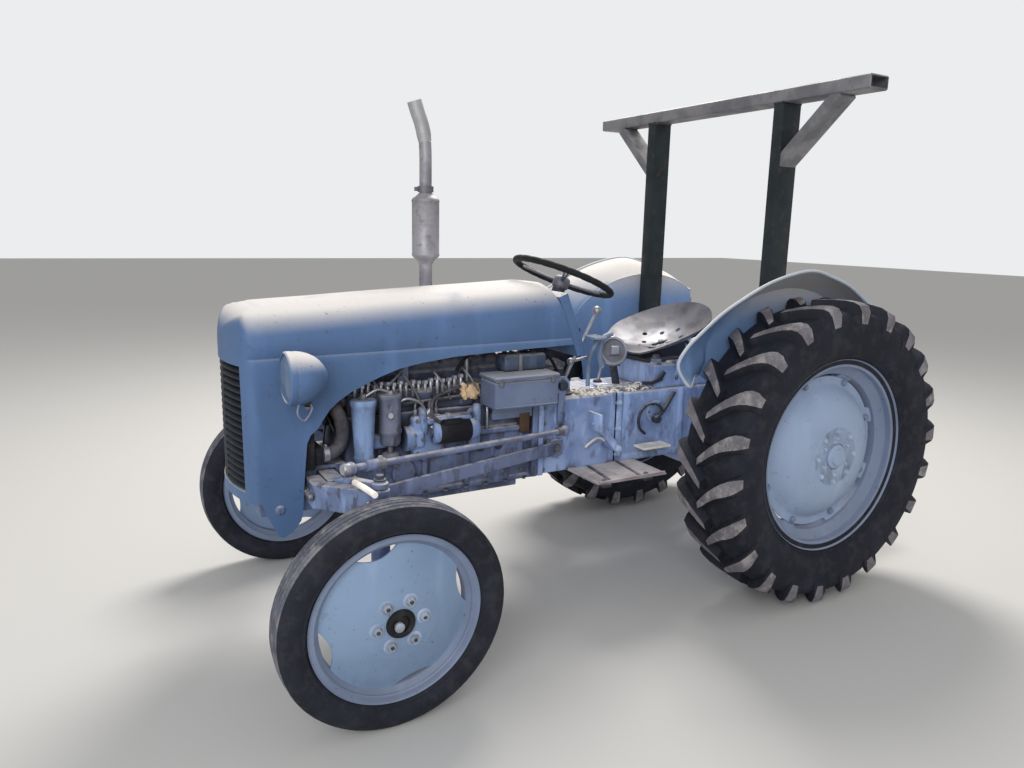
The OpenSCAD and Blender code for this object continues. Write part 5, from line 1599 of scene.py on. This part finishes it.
def foot_plates():
    form = Form()
    top = PLATE_LOW + PLATE_THICK
    for turn in (1, -1):
        corners = [(turn * x, y) for x, y in PLATE][::turn]
        form.prism(corners, PLATE_THICK, "dusty_plate", Matrix.Translation((0, 0, PLATE_LOW)), 2)
        # Grip marks, in rows
        for i in range(9):
            for k in range(6):
                x = turn * (214 + 30 * k)
                y = -858 + 34 * i
                form.bar((x - 9, y - 5, top), (x + 9, y + 5, top), 4, 3, "dusty_plate", 1)
        for y in (-860, -665):
            ends = sorted((turn * HOUSING_HALF, turn * 400))
            form.box((ends[0], y, PLATE_LOW - 12), (ends[1], y + 40, PLATE_LOW), "dark_steel")
            form.bolt((turn * 380, y + 20, top), UP, 9, "worn_steel")
            form.bolt((turn * 250, y + 20, PLATE_LOW - 12), DOWN, 9, "worn_steel")
        for y in (-790, -650):
            form.bar((turn * 196, y, top + 1), (turn * 394, y - 26, top + 1), 13, 5, "dark_steel", 1)
        form.tube([(turn * 396, y, top + 4) for y in (-876, -800, -640, -566)], 4, "dusty_plate", 8, 4)
    form.make("foot_plates", "chassis", "footrests", slot="dark_steel")


def steering_box():
    form = Form()
    form.take("steering_column", "dark_iron")
    form.cast()
    arm_shaft = (-934, 830)
    for turn in (1, -1):
        form.revolve([(0, 0), (48, 0), (48, 6), (40, 12), (24, 14), (0, 14)], "dark_iron",
                     (turn * 112, *arm_shaft), (turn, 0, 0), 36)
        form.bolt_ring((turn * 117, *arm_shaft), (turn, 0, 0), 40, 4, 6, "worn_steel")
    form.make("steering_box", "chassis", "steering_column", slot="engine_paint")


DASH_FACE = 45


def dash():
    form = Form()
    form.take("dash_panel", "hood_shaded_paint")
    form.soften(6)
    form.place = Matrix.Translation((0, *HOOD_CUT)) @ Matrix.Rotation(COLUMN_LEAN, 4, "X")
    for x, r in ((-120, 26), (120, 26), (-64, 14)):
        form.revolve([(0, 0), (r, 0), (r, 5), (r - 4, 7), (r - 5, 3), (0, 3)], "bright_steel",
                     (x, DASH_FACE, 70), BACK, 32)
        form.revolve([(0, 0), (r - 6, 0), (r - 6, 1), (0, 1)], "black_plastic",
                     (x, DASH_FACE + 3, 70), BACK, 32)
    for x in (64, 160, -160):
        form.revolve([(0, 0), (9, 0), (9, 14), (12, 16), (12, 24), (0, 26)], "black_plastic",
                     (x, DASH_FACE, 20), BACK, 20)
    form.make("dash", "chassis", "dash_panel", slot="body_paint")


TANK_TOP = 1142


def tank():
    form = Form()
    form.take("fuel_tank", "box_paint")
    form.soften(16, 4)
    for y in (-1470, -1280, -1100):
        form.box((-188, y, 1018), (188, y + 26, TANK_TOP), "dark_steel", 4)
    form.revolve([(0, 0), (34, 0), (34, 14), (30, 20), (0, 20)], "worn_steel",
                 (0, -1140, TANK_TOP - 3), UP, 32)
    form.tube([(100, -1290, 1022), (104, -1286, 990), (100, -1280, 955), (96, -1276, 884)], 9,
              "bright_steel", 10, 4)
    form.rod((60, -1500, 1000), (60, -1500, 1022), 14, "worn_steel")
    form.tube([(60, -1500, 1002), (70, -1510, 975), (120, -1540, 945), (150, -1600, 900)], 5,
              "worn_steel", 10)
    form.make("tank", "chassis", "fuel_tank", slot="body_paint")


def radiator():
    form = Form()
    form.take("radiator", "core_black")
    form.soften(6)
    half = 176
    faces = (FRONT_Y - 87, FRONT_Y - 157)
    for i in range(38):
        z = 702 + 7.2 * i
        for y in faces:
            form.box((-half, y - 3, z), (half, y + 3, z + 3), "core_fin", 0.6)
    neck_z = box_of("radiator")[1].z - 22
    form.revolve([(0, 0), (30, 0), (30, 12), (36, 14), (36, 24), (28, 30), (0, 30)], "worn_steel",
                 (0, sum(faces) / 2, neck_z), UP, 32)
    form.make("radiator_core", "chassis", "radiator", slot="black_metal")


HOSE_R = 23


def hoses():
    form = Form()
    form.tube([(156, -1835, 690), (156, -1806, 690), (155, -1775, 712), (155, -1762, 760), (155, -1770, 806),
               (152, -1782, 836), (134, -1780, 851), (112, -1752, 852)], HOSE_R, "hose_rubber", 24, 8)
    for point, axis in (((156, -1822, 690), BACK), ((122, -1768, 852), (-0.7, 0.7, 0))):
        form.revolve([(HOSE_R, -9), (HOSE_R + 3, -9), (HOSE_R + 3, 9), (HOSE_R, 9)], "bright_steel",
                     point, axis, 28, looped=True)
    form.bolt((156, -1822, 716), UP, 6, "bright_steel", False)
    form.tube([(0, -1826, 995), (0, -1802, 996), (0, -1780, 975), (0, -1776, 945), (0, -1742, 925)], HOSE_R,
              "hose_rubber", 24, 8)
    form.make("hoses", "chassis", "coolant_hoses", slot="hose_rubber")


def axle():
    form = Form()
    form.take("front_axle_beam", "axle_paint")
    form.cast()
    bolts_x = [186 + 24 * i for i in range(4)]
    for x in bolts_x:
        for turn in (1, -1):
            form.bolt((turn * x, -1790, 586), BACK, 9, "worn_steel")
    form.make("axle_beam", "chassis", "front_axle_beam", slot="engine_paint")

    arms = Form()
    arms.take("axle_arms", "axle_paint")
    arms.cast(4)
    half = Form()
    for x in bolts_x:
        half.bolt((x, -1898, 586), FORWARD, 11, "worn_steel")
    half.bolt((300, -1880, 631), (0.2, 0, 1), 9, "worn_steel")
    half.revolve([(30, -6), (34, -4), (34, 4), (30, 6)], "axle_paint", (KINGPIN_X, FRONT_Y, 612), UP, 28,
                 looped=True)
    half.bolt((KINGPIN_X, -1812, 650), FORWARD, 6, "bright_steel")
    half.mirror()
    arms.join(half)
    arms.make("axle_ends", "chassis", "axle_arms", slot="engine_paint")

    rods = Form()
    rods.take("radius_rods", "radius_paint")
    rods.soften(5, 3)
    ends = Form(Matrix.Translation((160, -925, 603)))
    ends.revolve([(0, -12), (32, -12), (36, -8), (36, 8), (32, 12), (0, 12)], "radius_paint", sides=32)
    ends.bolt((12, 0, 0), LEFT, 15, "worn_steel")
    ends.bolt((5, -30, 22), LEFT, 10, "worn_steel")
    ends.bolt((5, -30, -20), LEFT, 10, "worn_steel")
    ends.mirror()
    rods.join(ends)
    rods.make("radius_rod_pair", "chassis", "radius_rods", slot="engine_paint")


def steering_parts():
    for side, turn in SIDES.items():
        knuckle = Form()
        knuckle.take("knuckle_" + side, "axle_paint")
        knuckle.cast(3)
        knuckle.bolt((turn * KINGPIN_X, FRONT_Y, 716), UP, 14, "dark_iron")
        # The pale arm above the wheel
        knuckle.tube([(turn * 512, -1838, 703), (turn * 580, -1831, 706), (turn * 652, -1824, 706)], 9,
                     "straw", 12, 5)
        knuckle.make("knuckle_casting_" + side, BODY_OF["knuckle_" + side], "knuckle_" + side,
                     slot="engine_paint")
        link = Form()
        link.take("drag_link_" + side, "radius_paint")
        link.soften()
        front = Vector((turn * 470, -1838, 732))
        rear = Vector((turn * 241, -934, 691))
        run = rear - front
        link.revolve([(0, -26), (15, -26), (19, -20), (19, 8), (16, 14), (0, 14)], "bright_steel",
                     front, run, 20)
        clamp = front + run * 0.115
        link.revolve([(11, -12), (18, -12), (18, 12), (11, 12)], "worn_steel", clamp, run, 24, looped=True)
        link.bolt(clamp + Vector((0, 0, 15)), UP, 8, "bright_steel")
        link.revolve([(11, -40), (16, -40), (16, -14), (11, -10)], "worn_steel", rear, run, 24, looped=True)
        link.make("drag_link_rod_" + side, BODY_OF["drag_link_" + side], "drag_link_" + side,
                  slot="engine_paint")


def linkage():
    form = Form()
    form.take("lift_arms", "axle_paint")
    form.cast()
    for turn in (1, -1):
        form.bolt((turn * 176, 70, 900), (turn, 0, 0), 16, "worn_steel")
    form.make("lift_arm_pair", BODY_OF["lift_arms"], "lift_arms", slot="engine_paint")
    for side in SIDES:
        for part, bevel in (("lift_rod", 2.5), ("lower_link", 3.5)):
            node = part + "_" + side
            piece = Form()
            piece.take(node, "dark_steel")
            piece.soften(bevel, 3)
            if part == "lift_rod":
                # The barrel that sets the rod's length
                low, high = box_of(node)
                piece.revolve([(12, -34), (19, -34), (21, -28), (21, 28), (19, 34), (12, 34)], "worn_steel",
                              (low + high) / 2, (0, high.y - low.y, low.z - high.z), 24, looped=True)
            piece.make(part + "_steel_" + side, BODY_OF[node], node, slot="dark_steel")


def from_nodes():
    """Pieces that need no more than a node's own shape, cast or worked."""
    for node, material, voxel in (("manifold", "dark_iron", 4.5), ("front_support", "axle_paint", 4.5),
                                  ("axle_trumpets", "axle_paint", 6)):
        form = Form()
        form.take(node, material)
        form.cast(voxel)
        form.make("cast_" + node, BODY_OF[node], node, slot="engine_paint")
    for node, material, slot, bevel in (("fan", "dark_steel", "dark_steel", 1),
                                        ("drop_arm_left", "axle_paint", "engine_paint", 3),
                                        ("drop_arm_right", "axle_paint", "engine_paint", 3)):
        form = Form()
        form.take(node, material)
        form.soften(bevel)
        form.make("part_" + node, BODY_OF[node], node, slot=slot)


scene = bpy.context.scene
scene.view_settings.view_transform = "Standard"
make_materials()
make_camera()
make_stage()
for wheel_side in SIDES:
    rear_wheel(wheel_side)
    front_wheel(wheel_side)
for build in (hood, grille, headlamps, fenders, roll_bar, exhaust, seat, steering_wheel, engine,
              head, filters, motors, battery, dry_dirt, gearbox, debris, lift_case, controls, gear_levers,
              hydraulic_filler, foot_plates, steering_box, dash, tank, radiator, hoses, axle, steering_parts,
              linkage, from_nodes):
    build()
bpy.context.view_layer.update()
